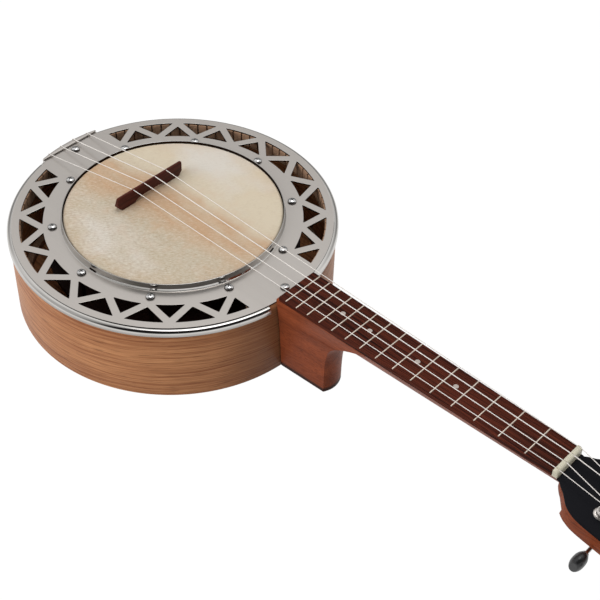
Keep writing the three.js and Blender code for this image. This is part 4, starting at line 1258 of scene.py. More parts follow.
def calf_skin(drum):
    """Stretched skin: cream with a warm band under the strings, pale patches and a fine tooth."""
    finish = Finish("calf_skin", Specular_IOR_Level=0.2)
    place = finish.place()
    x, y, z = finish.split(place)
    side, along = 0.755, 0.656  # direction of the skin's fine tooth, slanting to the neck
    grain = finish.vector(y * side - x * along, x * side + y * along, z)
    warp = finish.noise(place, scale=26, detail=3)
    soft = finish.noise(finish.stretch(place, 14, 9, 14), detail=3, roughness=0.6)
    streak = finish.noise(finish.stretch(place, 75, 16, 75), detail=3, roughness=0.6)
    mid = finish.noise(place, scale=110, detail=4, roughness=0.65)
    fuzz = finish.noise(finish.stretch(grain, 330, 800, 400), detail=3, roughness=0.75)
    off = (x + y * 0.09 + (warp - 0.5) * 0.045).size()
    band = 1 - off.between(0.008, 0.03)
    reach = (x * x + y * y) ** 0.5
    # The skin is darker and more mottled on its +x half.
    darker_half = x.between(-0.03, 0.03)
    warmth = band * (streak.between(0.3, 0.65) * 0.6 + 0.4)
    warmth = warmth + (1 - band) * mid.between(0.45, 0.7) * soft.between(0.35, 0.6) * 0.5
    warmth = warmth + reach.between(0.072, 0.092) * soft.between(0.35, 0.6) * 0.45
    pale = (1 - band) * soft.between(0.42, 0.6) * x.size().between(0.03, 0.06)
    base = finish.blend(darker_half, drum.cream, times(drum.cream, 0.82))
    tint = finish.blend(warmth * 0.9, base, drum.tan)
    tint = finish.blend(pale * 0.8, tint, drum.pale)
    depth = darker_half * 1.6 + 0.5
    speck = (0.52 - fuzz) * depth + (0.5 - mid) * 0.4
    tint = finish.blend(speck, tint, times(drum.tan, 0.62))
    light = finish.blend((fuzz - 0.54) * depth, tint, (0.8, 0.77, 0.7))
    finish.show(Base_Color=light, Roughness=fuzz * 0.15 + 0.5,
                Normal=finish.bump(fuzz * 0.6 + mid * 0.4, 0.15 * MM, 0.4))
    return finish.material


# Screws

def screw_shape(screw, steel):
    """One screw: a domed head with a cross recess, over a plain shank."""
    top = screw.dome
    rim, tip, soft = top * 0.3, 0.4 * MM, 0.25 * MM
    profile = [
        (0, -screw.length), (screw.shank - tip, -screw.length),
        (screw.shank, tip - screw.length), (screw.shank, 0), (screw.head - soft, 0),
        (screw.head, soft), (screw.head, rim),
        *[(screw.head * math.cos(a), rim + (top - rim) * math.sin(a))
          for a in (QUARTER * k / 8 for k in range(1, 8))],
        (0, top),
    ]
    body = lathe("screw_body", profile, POST_SIDES, steel)
    arm, half = screw.span / 2, screw.slit / 2
    plan = []
    for k in range(4):
        spin = Matrix.Rotation(QUARTER * k, 2)
        plan += [tuple(spin @ Vector(p)) for p in ((arm, -half), (arm, half), (half, half))]
    low, high = top - screw.recess, top + screw.recess
    cross = skinned("cross", [[(x * size, y * size, z) for x, y in plan]
                              for size, z in ((0.7, low), (1, top), (1, high))], steel)
    combine(body, cross, "DIFFERENCE")
    shade(body)
    return body


def make_screws(settings, layout):
    screw = settings.screw
    # Painted shade: the heads go dark below their upper dome, round their rim and in the cross
    # recess.
    steel = polished("screw_steel", screw.steel, 0.16, settings.plate.painted_shade,
                     below(layout.deck + 0.9 * MM, layout.deck + 1.7 * MM))
    shape = screw_shape(screw, steel)
    tree = GeometryTree("screws", {
        "Screw": (THING, shape),
        "Count": (WHOLE, screw.tension),
        "Circle": (LENGTH, layout.collar + screw.circle),
        "Neck screw": (LENGTH, POT_RADIUS - screw.neck_inset),
        "Tail screw": (LENGTH, screw.tail_inset - POT_RADIUS),
        "Height": (LENGTH, layout.deck + screw.seat),
        "Seed": (WHOLE, screw.seed),
        "Steel": (SURFACE, steel),
    })
    ring = tree.node("GeometryNodeMeshCircle", {}, {
        "Vertices": tree.input("Count"), "Radius": tree.input("Circle")})
    index = order(tree)
    pair = numbered(tree, 2)
    between = tree.input("Neck screw") - tree.input("Tail screw")
    y = tree.input("Neck screw") - between * index
    line = tree.node("GeometryNodeSetPosition", {}, {
        "Geometry": pair, "Position": tree.vector(0.0, y, 0.0)})
    cloud = tree.node("GeometryNodeMeshToPoints", {}, {"Mesh": ring})
    points = tree.node("GeometryNodeJoinGeometry", {}, {"Geometry": [line, cloud]})
    spin = tree.node("FunctionNodeRandomValue", {"data_type": "FLOAT"}, {
        "Min": 0.0, "Max": FULL_TURN, "Seed": tree.input("Seed")})
    copies = tree.copies(points, tree.solid("Screw"), rotation=tree.vector(0.0, 0.0, spin))
    lifted = tree.node("GeometryNodeTranslateInstances", {}, {
        "Instances": copies, "Translation": tree.vector(0.0, 0.0, tree.input("Height"))})
    tree.finish(lifted, tree.input("Steel"))
    piece = tree.grow("screws_domed")
    bpy.data.objects.remove(shape)
    shade(piece)
    names = [f"tension_screw_{n}" for n in range(1, screw.tension + 1)]
    fixed(piece, ROOT, "polished_steel", *names, "plate_screw_neck", "plate_screw_tail")


# Tailpiece

def make_tailpiece(settings, layout):
    tail, sheet, deck = settings.tail, settings.tail.sheet, layout.deck
    nickel = satin_nickel("tail_nickel", settings.plate.metal)
    top = deck + tail.rise + sheet
    inner_y = tail.reach - PLATE_RADIUS
    columns, steps = [], 60
    for k in range(steps + 1):
        x = tail.half * (2 * k / steps - 1)
        edge = math.sqrt(PLATE_RADIUS ** 2 - x * x)
        slope = max(min((abs(x) - tail.foot) / (tail.half - tail.foot), 1), 0)
        eased_slope = slope * slope * (3 - 2 * slope)
        foot = deck - (tail.depth + (tail.shoulder - tail.depth) * eased_slope)
        bend = min(tail.bend, edge + inner_y - 0.2 * MM)
        over = arc(bend, math.pi, QUARTER, 6, (bend - edge, top - bend))
        columns.append([(x, -edge, foot), (x, -edge, foot + (top - bend - foot) / 2),
                        *[(x, y, z) for y, z in over], (x, inner_y, top)])
    bm = bmesh.new()
    skin_over(bm, columns, closed=False, caps=False)
    bm.normal_update()
    bmesh.ops.recalc_face_normals(bm, faces=bm.faces)
    if max(bm.faces, key=lambda f: f.calc_center_median().z).normal.z < 0:
        bmesh.ops.reverse_faces(bm, faces=bm.faces)
    piece = piece_from("tail_sheet", bm, nickel, recalc=False)
    modified(piece, "SOLIDIFY", thickness=sheet, offset=-1)
    eased(piece, 0.2 * MM)
    parts, half, low = [piece], tail.saddle / 2, deck + tail.saddle_gap
    for i in range(len(STRING_RADII)):
        x = across(i, settings.string.tail_spacing, 0)
        plan = rounded(rectangle(x - half, x + half, inner_y - tail.saddle_reach,
                                 inner_y + tail.saddle_reach), 0.5 * MM)
        parts.append(piece_from("saddle", slab(plan, low, top, 0.25 * MM), nickel))
    fixed(joined("tailpiece_bent", parts), ROOT, "satin_nickel", "tailpiece")

    steel = polished("button_steel", settings.screw.steel, 0.1)
    shares = smooth_through(BUTTON_SHARES, 5)
    profile = [(0, 0), *[(tail.button_radius * r, tail.button_length * z) for r, z in shares]]
    button = lathe("strap_button", profile, KNOB_SIDES, steel)
    place = (Matrix.Translation((0, -PLATE_RADIUS, deck - tail.button_drop))
             @ Matrix.Rotation(QUARTER, 4, "X"))
    button.data.transform(place)
    fixed(button, ROOT, "polished_steel", "tail_button")
    dress(steel, "neck_bolt")


# Neck

def neck_depth(settings, layout, y):
    """How far the round back reaches below the neck's top."""
    neck = settings.neck
    part = min((layout.nut_y - y) / (layout.nut_y - neck.fair), 1)
    return neck.depth_nut + (neck.depth_heel - neck.depth_nut) * part


def shaft_sections(settings, layout):
    """The round back from the pot to the nut, then turning flat along the headstock."""
    neck, head, top = settings.neck, settings.head, layout.neck_top
    steps, rows = 40, 24
    angles = [math.pi * i / steps for i in range(steps + 1)]
    inner = POT_RADIUS + settings.drum.gap
    sections = []
    for k in range(rows + 1):
        y = inner + (NUT_BACK - inner) * k / rows
        half, depth = layout.board_half(y), neck_depth(settings, layout, y)
        sections.append([(half * math.cos(a), y, top - depth * math.sin(a) ** 2) for a in angles])
    high = -head.face - head.gap
    for share, square in smooth_through(ROOT_SHARES, 3):
        along = share * head.length
        half = head_half(head, along) - 0.05 * MM
        depth = (neck.depth_nut + high) * (1 - square) + head.wood * square
        points = []
        for a in angles:
            x = half * abs(math.cos(a)) ** (1 - 0.65 * square)
            z = high - depth * math.sin(a) ** (2 - 1.65 * square)
            spot = Vector((math.copysign(x, math.cos(a)), along, z))
            points.append(tuple(layout.head @ spot))
        sections.append(points)
    return sections


def heel_loop(settings, layout, z, shares, draw):
    """The heel's outline at one height, drawn in at its rounded foot."""
    neck, start = settings.neck, POT_RADIUS + settings.drum.gap
    pot_share, reach, end_share, crown = shares
    corner_y = POT_RADIUS + neck.heel_reach * reach - draw
    pot_half = min(neck.heel_half * pot_share, layout.board_half(BOARD_END)) - draw
    end_half = min(neck.heel_half * end_share, layout.board_half(corner_y)) - draw
    ends, steps = [], 12
    for k in range(steps + 1):
        part = 2 * k / steps - 1
        bulge = neck.crown * crown * (1 - part * part)
        ends.append((end_half * part, corner_y + bulge, z))
    return [(-pot_half, start, z), *ends, (pot_half, start, z)]


def heel_sections(settings, layout):
    soft, bottom, top = settings.neck.rounding, settings.neck.heel_gap, layout.neck_top
    rows = smooth_through(HEEL_SHARES, 8)
    sections = []
    for angle in (QUARTER * k / 4 for k in range(4)):
        z, draw = bottom + soft * (1 - math.cos(angle)), soft * (1 - math.sin(angle))
        sections.append(heel_loop(settings, layout, z, rows[0][1:], draw))
    for height, *shares in rows:
        z = bottom + (top - bottom) * height
        if z > bottom + soft:
            sections.append(heel_loop(settings, layout, z, shares, 0))
    return sections


def head_side(head):
    """One side of the headstock's outline, from the nut to its tip."""
    return [(wide * head.half, along * head.length)
            for along, wide in smooth_through(HEAD_SHARES, 6)]


def head_half(head, y):
    """Half the headstock's width at a place along it."""
    side = head_side(head)
    for (x0, y0), (x1, y1) in zip(side, side[1:]):
        if y < y1:
            return x0 + (x1 - x0) * max(y - y0, 0) / (y1 - y0)
    return 0


def head_plan(settings, start):
    """The headstock's outline from a line across it to its tip."""
    head = settings.head
    side = [(head_half(head, start), start)]
    side += [(x, y) for x, y in head_side(head) if y > start + 0.1 * MM]
    return anticlockwise(side + [(-x, y) for x, y in side[-2::-1]])


def make_neck(settings, layout):
    neck, head = settings.neck, settings.head
    # The neck wood darkens towards the heel's foot, below 7 mm.
    mahogany = wood("carved_wood", neck.light, neck.dark, 1.1 * MM, 26 * MM, 11 * MM,
                    (0.4, 0.55, 0.12, 0.8), axis="Y", roughness=0.42, shine=0.07,
                    where=below(4.2 * MM, 7 * MM))
    shaft = skinned("shaft", shaft_sections(settings, layout), mahogany)
    heel = skinned("heel", heel_sections(settings, layout), mahogany)
    start = ROOT_SHARES[-3][0] * head.length
    block = piece_from("block", slab(head_plan(settings, start), layout.underside,
                                     -head.face - head.gap, 0, head.easing), mahogany)
    block.data.transform(layout.head)
    for tool in (heel, block):
        combine(shaft, tool, "UNION")
    shaft.name = "neck_carved"
    shaft.data.name = "neck_carved"
    shade(shaft, 34)
    fixed(shaft, ROOT, "neck_wood", "neck")

    black = speckled("headstock_black", head.black, times(head.black, 1.5), (1500, 60, 1500),
                     (0.38, 0.53), detail=3, relief=0.04 * MM, Specular_IOR_Level=0.06)
    veneer = slab(head_plan(settings, -head.start), -head.face, 0, 0.4 * MM, 0)
    face = piece_from("headstock_veneer", veneer, black)
    face.data.transform(layout.head)
    fixed(face, ROOT, "black_veneer", "headstock_face")


# Fretboard, frets, dots and nut

def make_fretboard(settings, layout):
    board = settings.board
    rosewood = wood("board_wood", board.light, board.dark, 0.7 * MM, 60 * MM, 4.5 * MM,
                    (0.8, 1.3, 0.5, 1), axis="Y", roughness=0.5, shine=0.05)
    far = layout.board_half(BOARD_NUT_END) + board.spread
    end, corner = BOARD_END_HALF, board.corner
    near = arc(corner, -QUARTER, 0, 6, (end - corner, BOARD_END + corner))
    plan = [*near, (far, BOARD_NUT_END), (-far, BOARD_NUT_END), *[(-x, y) for x, y in near[::-1]]]
    bm = slab(plan, BOARD_BOTTOM, BOARD_TOP, board.easing, 0)
    for vert in bm.verts:
        if vert.co.z > BOARD_TOP - 2 * board.easing:
            vert.co.z += layout.board_top(board, vert.co.y) - BOARD_TOP
    piece = piece_from("fretboard_streaked", bm, rosewood)
    fixed(piece, ROOT, "dark_wood", "fretboard")


def make_frets(settings, layout):
    board, neck = settings.board, settings.neck
    half, high = board.crown_width / 2, board.crown_height
    section = arc(1, 0, math.pi, 10)
    loops = []
    for x, squeeze in ((-1, 0.35), (-0.985, 0.8), (-0.96, 1), (0.96, 1), (0.985, 0.8), (1, 0.35)):
        loops.append([(x, half * c, high * s * squeeze) for c, s in section])
    wire = polished("fret_nickel", board.wire, 0.3, metallic=0.5)
    shape = skinned("fret_shape", loops, wire)
    tree = GeometryTree("frets", {
        "Fret": (THING, shape),
        "Count": (WHOLE, board.frets),
        "Scale length": (LENGTH, neck.scale_length),
        "Bridge": (LENGTH, layout.bridge_y - board.fret_shift),
        "Nut half width": (LENGTH, NUT_HALF + board.spread - board.fret_inset),
        "End half width": (LENGTH, BOARD_END_HALF - board.fret_inset),
        "Nut": (LENGTH, layout.nut_y),
        "End": (LENGTH, BOARD_END),
        "Height": (LENGTH, BOARD_TOP),
        "Lift": (LENGTH, board.lift),
        "Wire": (SURFACE, wire),
    })
    number = order(tree) + 1
    nut, nut_half = tree.input("Nut"), tree.input("Nut half width")
    y = tree.input("Bridge") + tree.input("Scale length") * 2 ** (number * (-1 / 12))
    part = (nut - y) / (nut - tree.input("End"))
    height = tree.input("Height") + tree.input("Lift") * (1 - part)
    points = tree.node("GeometryNodeSetPosition", {}, {
        "Geometry": numbered(tree, tree.input("Count")),
        "Position": tree.vector(0.0, y, height)})
    wide = nut_half + part * (tree.input("End half width") - nut_half)
    copies = tree.copies(points, tree.solid("Fret"), scale=tree.vector(wide, 1.0, 1.0))
    tree.finish(copies, tree.input("Wire"))
    piece = tree.grow("frets_set")
    bpy.data.objects.remove(shape)
    shade(piece, 40)
    fixed(piece, ROOT, "fret_wire", *[f"fret_{n}" for n in range(1, board.frets + 1)])


def make_dots(settings, layout):
    board = settings.board
    pearl = Finish("pearl_dot", Coat_Weight=0.4, Coat_Roughness=0.1)
    swirl = pearl.noise(pearl.place(), scale=900, detail=2, distortion=1.5)
    pearl.show(Base_Color=pearl.blend(swirl, board.pearl, times(board.pearl, 0.55)),
               Roughness=0.25)
    parts = []
    for fret in DOT_FRETS:
        y = (layout.fret(settings, fret) + layout.fret(settings, fret - 1)) / 2
        top = layout.board_top(board, y)
        low, rim, crown = top - 1 * MM, top + 0.03 * MM, top + 0.05 * MM
        profile = [(0, low), (board.dot, low), (board.dot, rim), (0, crown)]
        dot = lathe("dot", profile, DOT_SIDES, pearl.material)
        dot.data.transform(Matrix.Translation((board.dot_shift, y, 0)))
        parts.append(dot)
    fixed(joined("position_dots", parts), ROOT, "bone")


def make_nut(settings, layout):
    board, strings = settings.board, settings.string
    bone = speckled("nut_bone_finish", board.bone, times(board.bone, 0.8), (60, 400, 400),
                    (0.35, 0.5), detail=3, Specular_IOR_Level=0.4)
    low, high = BOARD_BOTTOM, side_of("nut", 1, 2)
    rear, front = 2.4 * MM, 0.5 * MM  # rounding of the nut's upper edges
    profile = [
        (NUT_FRONT, low), (layout.nut_back, low),
        *arc(rear, 0, QUARTER, 6, (layout.nut_back - rear, high - rear)),
        *arc(front, QUARTER, math.pi, 3, (NUT_FRONT + front, high - front)),
    ]
    soft, half = 0.4 * MM, NUT_HALF + board.spread * 0.9
    loops = []
    for x, draw in ((-half, soft), (-half + soft * 0.3, soft * 0.3), (-half + soft, 0),
                    (half - soft, 0), (half - soft * 0.3, soft * 0.3), (half, soft)):
        loops.append([(x, y, z) for y, z in (inset(profile, draw) if draw else profile)])
    nut = skinned("nut_bone", loops, bone)
    bm = bmesh.new()
    reach, over = 3 * MM, high + 2 * MM  # how far the slots' cutters pass the nut
    for i, radius in enumerate(STRING_RADII):
        x = across(i, strings.nut_spacing, strings.nut_shift)
        room = radius * 1.25
        z = layout.deck + strings.nut_height
        plan = [*arc(room, math.pi, FULL_TURN, 8, (x, z)), (x + room, over), (x - room, over)]
        if x - room < -half:
            plan = [(x - reach, z - room), *plan[4:-1], (x - reach, over)]
        skin_over(bm, [[(px, y, pz) for px, pz in plan]
                       for y in (NUT_FRONT - reach, NUT_BACK + reach)])
    combine(nut, piece_from("slots", bm, bone), "DIFFERENCE")
    shade(nut, 40)
    fixed(nut, ROOT, "bone", "nut")


# Bridge

def make_bridge(settings, layout):
    bridge, strings = settings.bridge, settings.string
    low = layout.deck + settings.drum.height
    high = side_of("bridge", 1, 2)
    foot_in = bridge.foot_end - bridge.foot
    tall = high - low
    half, corner = bridge.half, bridge.corner
    arch, steps = [], 24
    for i in range(steps + 1):
        part = 1 - 2 * i / steps
        arch.append((foot_in * part, bridge.arch * math.sqrt(max(1 - part ** 4, 0))))
    right = [*arc(corner, QUARTER, 0, 5, (half - corner, tall - corner)),
             (half, tall - bridge.drop), (bridge.foot_end, 0)]
    plan = [*right, *arch, *[(-x, z) for x, z in right[::-1]]]
    rosewood = wood("bridge_wood", bridge.light, bridge.dark, 0.8 * MM, 30 * MM, 5 * MM,
                    (0.8, 0.7, 0.3, 0.6), roughness=0.45)
    bm = slab(plan, 0, 1, 0)
    bmesh.ops.recalc_face_normals(bm, faces=bm.faces)
    mid = layout.bridge_y - bridge.setback
    face = mid + bridge.crest / 2
    uv = bm.loops.layers.uv.new("UVMap")
    for vert in bm.verts:
        x, z, deep = vert.co
        thick = bridge.base + (bridge.crest - bridge.base) * max(z / tall, 0)
        vert.co = (x + strings.bridge_shift, face - deep * thick, low + z)
    for f in bm.faces:
        for loop in f.loops:
            loop[uv].uv = (loop.vert.co.x, loop.vert.co.z + loop.vert.co.y)
    piece = eased(piece_from("bridge_carved", bm, rosewood), bridge.easing, 3)
    fixed(piece, ROOT, "dark_wood", "bridge")


# Strings

def string_route(settings, layout, i):
    """From the knot on the apron over the lip, bridge and nut, then down round the post."""
    strings, tail, tuner = settings.string, settings.tail, settings.tuner
    sheet, gap = tail.sheet, settings.drum.gap
    deck, radius = layout.deck, STRING_RADII[i]
    lift = radius + 0.05 * MM
    tail_x = across(i, strings.tail_spacing, 0)
    nut_x = across(i, strings.nut_spacing, strings.nut_shift)
    edge_y = -math.sqrt(PLATE_RADIUS ** 2 - tail_x ** 2) - lift
    top = deck + tail.rise + sheet + lift
    bend = tail.bend + lift
    over_edge = arc(bend, math.pi, QUARTER, 8, (edge_y + bend, top - bend))
    bridge_x = across(i, strings.bridge_spacing, strings.bridge_shift)
    bridge_y = layout.bridge_y - settings.bridge.setback
    round_over = layout.nut_back - 0.8 * MM
    route = [
        (tail_x, edge_y, deck - strings.knot_drop),
        *[(tail_x, y, z) for y, z in over_edge],
        (tail_x, tail.reach - PLATE_RADIUS + tail.saddle_reach, top),
        (bridge_x, bridge_y, deck + strings.bridge_height),
        (nut_x, NUT_FRONT, deck + strings.nut_height),
        (nut_x, round_over, deck + strings.nut_height - radius / 2),
    ]
    leave = layout.head.inverted() @ Vector(route[-1])
    post_x, post_y = layout.tuner_places(tuner)[i]
    side = math.copysign(1, post_x)
    hug = tuner.post + gap + radius
    reach = math.hypot(leave.x - post_x, leave.y - post_y)
    touch = math.atan2(leave.y - post_y, leave.x - post_x) - side * math.acos(hug / reach)
    steps = 28
    for k in range(strings.turns * steps + 1):
        angle = touch - side * FULL_TURN * k / steps
        spot = (post_x + hug * math.cos(angle), post_y + hug * math.sin(angle),
                strings.top - strings.pitch * k / steps)
        route.append(tuple(layout.head @ Vector(spot)))
    return route


def tube(name, route, radius, material):
    """A cord along a route."""
    curve = bpy.data.curves.new(name, "CURVE")
    curve.dimensions = "3D"
    curve.bevel_depth = radius
    curve.bevel_resolution = 2
    curve.use_fill_caps = True
    spline = curve.splines.new("POLY")
    spline.points.add(len(route) - 1)
    for point, spot in zip(spline.points, route):
        point.co = (*spot, 1)
    line = linked(name, curve)
    mesh = evaluated(line)
    bpy.data.objects.remove(line)
    coat(mesh, material)
    return linked(name, mesh)


def make_strings(settings, layout):
    strings = settings.string
    nylon = speckled("string_nylon", strings.nylon, times(strings.nylon, 0.9), (300,) * 3,
                     (0.3, 0.4), Coat_Weight=0.3, Coat_Roughness=0.2)
    for i, radius in enumerate(STRING_RADII):
        route = string_route(settings, layout, i)
        x, y, z = route[0]
        line = tube("line", route, radius, nylon)
        bm = bmesh.new()
        bmesh.ops.create_uvsphere(bm, u_segments=16, v_segments=10, radius=strings.knot)
        bmesh.ops.translate(bm, verts=bm.verts, vec=(x, y - strings.knot + radius, z))
        knot = piece_from("knot", bm, nylon)
        piece = joined(f"string_line_{i + 1}", [line, knot])
        shade(piece, 60)
        fixed(piece, ROOT, "plain_string", f"string_{i + 1}")


# Tuners

def tuner_plate(settings, layout, side, nickel):
    """A mounting plate with two pairs of bearing lugs and four screws."""
    tuner = settings.tuner
    top = layout.underside - settings.head.gap
    bottom = top - tuner.plate
    middle, half = side * tuner.offset, tuner.plate_half
    wide, seat = tuner.lug_half, bottom + 0.3 * MM
    tip = bottom - tuner.lug_height + wide
    plan = rectangle(middle - half, middle + half, tuner.first - tuner.margin,
                     tuner.second + layout.worm_offset + tuner.margin / 2)
    parts = [piece_from("base", slab(rounded(plan, 2.5 * MM, 5), bottom, top, 0.3 * MM), nickel)]
    for y in (tuner.first, tuner.second):
        shaft_y = y + layout.worm_offset
        for way in (-1, 1):
            start = middle + way * (tuner.worm_length / 2 + settings.drum.gap)
            low_x, high_x = sorted((start, start + way * tuner.lug))
            round_tip = arc(wide, math.pi, FULL_TURN, 10, (shaft_y, tip))[1:-1]
            plan = [(shaft_y + wide, seat), (shaft_y - wide, seat), (shaft_y - wide, tip),
                    *round_tip, (shaft_y + wide, tip)]
            bm = slab(plan, low_x, high_x, 0.25 * MM)
            for vert in bm.verts:
                vert.co = (vert.co.z, vert.co.x, vert.co.y)
            parts.append(piece_from("lug", bm, nickel))
        for screw_y in (y - tuner.margin * 0.75, shaft_y + wide + 2.4 * MM):
            parts.append(small_screw((middle, screw_y, bottom), nickel))
    piece = joined(f"tuner_mount_{'near' if side > 0 else 'far'}", parts)
    piece.data.transform(layout.head)
    shade(piece)
    return piece


def small_screw(place, material):
    """A small domed wood screw, head down."""
    radius, dome = 1.9 * MM, -1 * MM
    profile = [(0, 0), (radius, 0), *[(radius * math.cos(a), dome * math.sin(a))
                                      for a in (QUARTER * k / 5 for k in range(1, 5))], (0, dome)]
    screw = lathe("mount_screw", profile, ROD_SIDES, material)
    screw.data.transform(Matrix.Translation(place))
    return screw


def knob_shape(settings, black, steel):
    """Knob, shaft and worm along +Z from the worm's middle."""
    tuner, head, gap = settings.tuner, settings.head, settings.drum.gap
    end = tuner.worm_length / 2
    back = -end - tuner.lug - 2 * gap
    start = head.half + tuner.clearance - tuner.offset
    tall = start + tuner.collar_length
    profile = [(0, back), (tuner.shaft, back), (tuner.shaft, start), (0, start)]
    rod = lathe("rod", profile, ROD_SIDES, steel)

    lead = tuner.worm_length / tuner.ridges
    loops, rows = [], tuner.ridges * ROD_SIDES
    for k in range(rows + 1):
        z = -end + tuner.worm_length * k / rows
        taper = max(min((z + end) / lead * 2, (end - z) / lead * 2, 1), 0)
        loop = []
        for s in range(ROD_SIDES):
            angle = FULL_TURN * s / ROD_SIDES
            wave = 0.5 - 0.5 * math.cos(FULL_TURN * (k - s) / ROD_SIDES)
            r = tuner.worm_root + (tuner.worm - tuner.worm_root) * wave * taper
            loop.append((r * math.cos(angle), r * math.sin(angle), z))
        loops.append(loop)
    worm = skinned("worm", loops, steel, crease=60)

    soft = 0.3 * MM
    profile = [(0, start), *arc(soft, -QUARTER, 0, 3, (tuner.collar - soft, start + soft)),
               (tuner.collar, tall), (0, tall)]
    collar = lathe("collar", profile, DOT_SIDES, steel)

    base = tall - 0.15 * MM
    profile = [(tuner.knob * min(max(r, 0), 1), base + tuner.knob_length * min(max(z, 0), 1))
               for r, z in smooth_through(KNOB_SHARES, 6)]
    wing = lathe("wing", profile, KNOB_SIDES, black, crease=50)
    wing.data.transform(Matrix.Diagonal((1, tuner.flat, 1, 1)))
    return [rod, worm, collar, wing]


def make_tuners(settings, layout):
    tuner, inner = settings.tuner, settings.tuner.post + settings.drum.gap
    nickel = satin_nickel("tuner_nickel", settings.plate.metal)
    steel = polished("tuner_steel", settings.screw.steel, 0.14)
    black = speckled("moulded_black", tuner.black, times(tuner.black, 1.6), (700,) * 3,
                     (0.3, 0.4), Specular_IOR_Level=0.5)
    for side, name in ((1, "tuner_plate_near"), (-1, "tuner_plate_far")):
        fixed(tuner_plate(settings, layout, side, nickel), ROOT, "satin_nickel", name)
    profile = [(inner, 0), (tuner.ferrule, 0), (tuner.ferrule, 0.5 * MM),
               (tuner.ferrule - 0.7 * MM, 1.1 * MM), (inner, 1.3 * MM)]
    ferrules = []
    for i, (x, y) in enumerate(layout.tuner_places(tuner), 1):
        upright = layout.head @ Matrix.Translation((x, y, 0))
        knob = joined(f"knob_set_{i}", knob_shape(settings, black, steel))
        knob.data.transform(
            layout.head @ Matrix.Translation((x, y + layout.worm_offset, layout.shaft_depth))
            @ Matrix.Rotation(math.copysign(QUARTER, x), 4, "Y"))
        fixed(knob, f"knob_{i}", "knob_black", f"tuner_knob_{i}")
        post = joined(f"post_set_{i}", post_shape(settings, layout, steel))
        post.data.transform(upright)
        shade(post)
        fixed(post, f"post_{i}", "polished_steel", f"tuner_post_{i}")
        ferrule = lathe("ferrule", profile, POST_SIDES, nickel, closed=True)
        ferrule.data.transform(upright)
        ferrules.append(ferrule)
    fixed(joined("post_ferrules", ferrules), ROOT, "satin_nickel")


def post_shape(settings, layout, steel):
    """A string post with its wheel, about its own axis."""
    tuner = settings.tuner
    low = layout.gear_top - tuner.gear_thickness
    waist, past, soft = tuner.post * 0.96, 0.15 * MM, 0.6 * MM
    profile = [
        (0, low - past), (tuner.post - 2 * past, low - past), (tuner.post, low + past),
        (tuner.post, 2 * MM), (waist, 3 * MM), (waist, 6.9 * MM), (tuner.post, 7.5 * MM),
        *arc(soft, 0, QUARTER, 4, (tuner.post - soft, tuner.rise - soft)),
        (0, tuner.rise),
    ]
    rod = lathe("rod", profile, POST_SIDES, steel)
    points = []
    for k in range(tuner.teeth):
        for tip, part in TOOTH_SHARES:
            angle = FULL_TURN * (k + part) / tuner.teeth
            r = tuner.root + (tuner.gear - tuner.root) * tip
            points.append((r * math.cos(angle), r * math.sin(angle)))
    wheel = piece_from("wheel", slab(rounded(points, 0.25 * MM), low, layout.gear_top, 0.2 * MM),
                       steel)
    return [rod, wheel]


# Stage

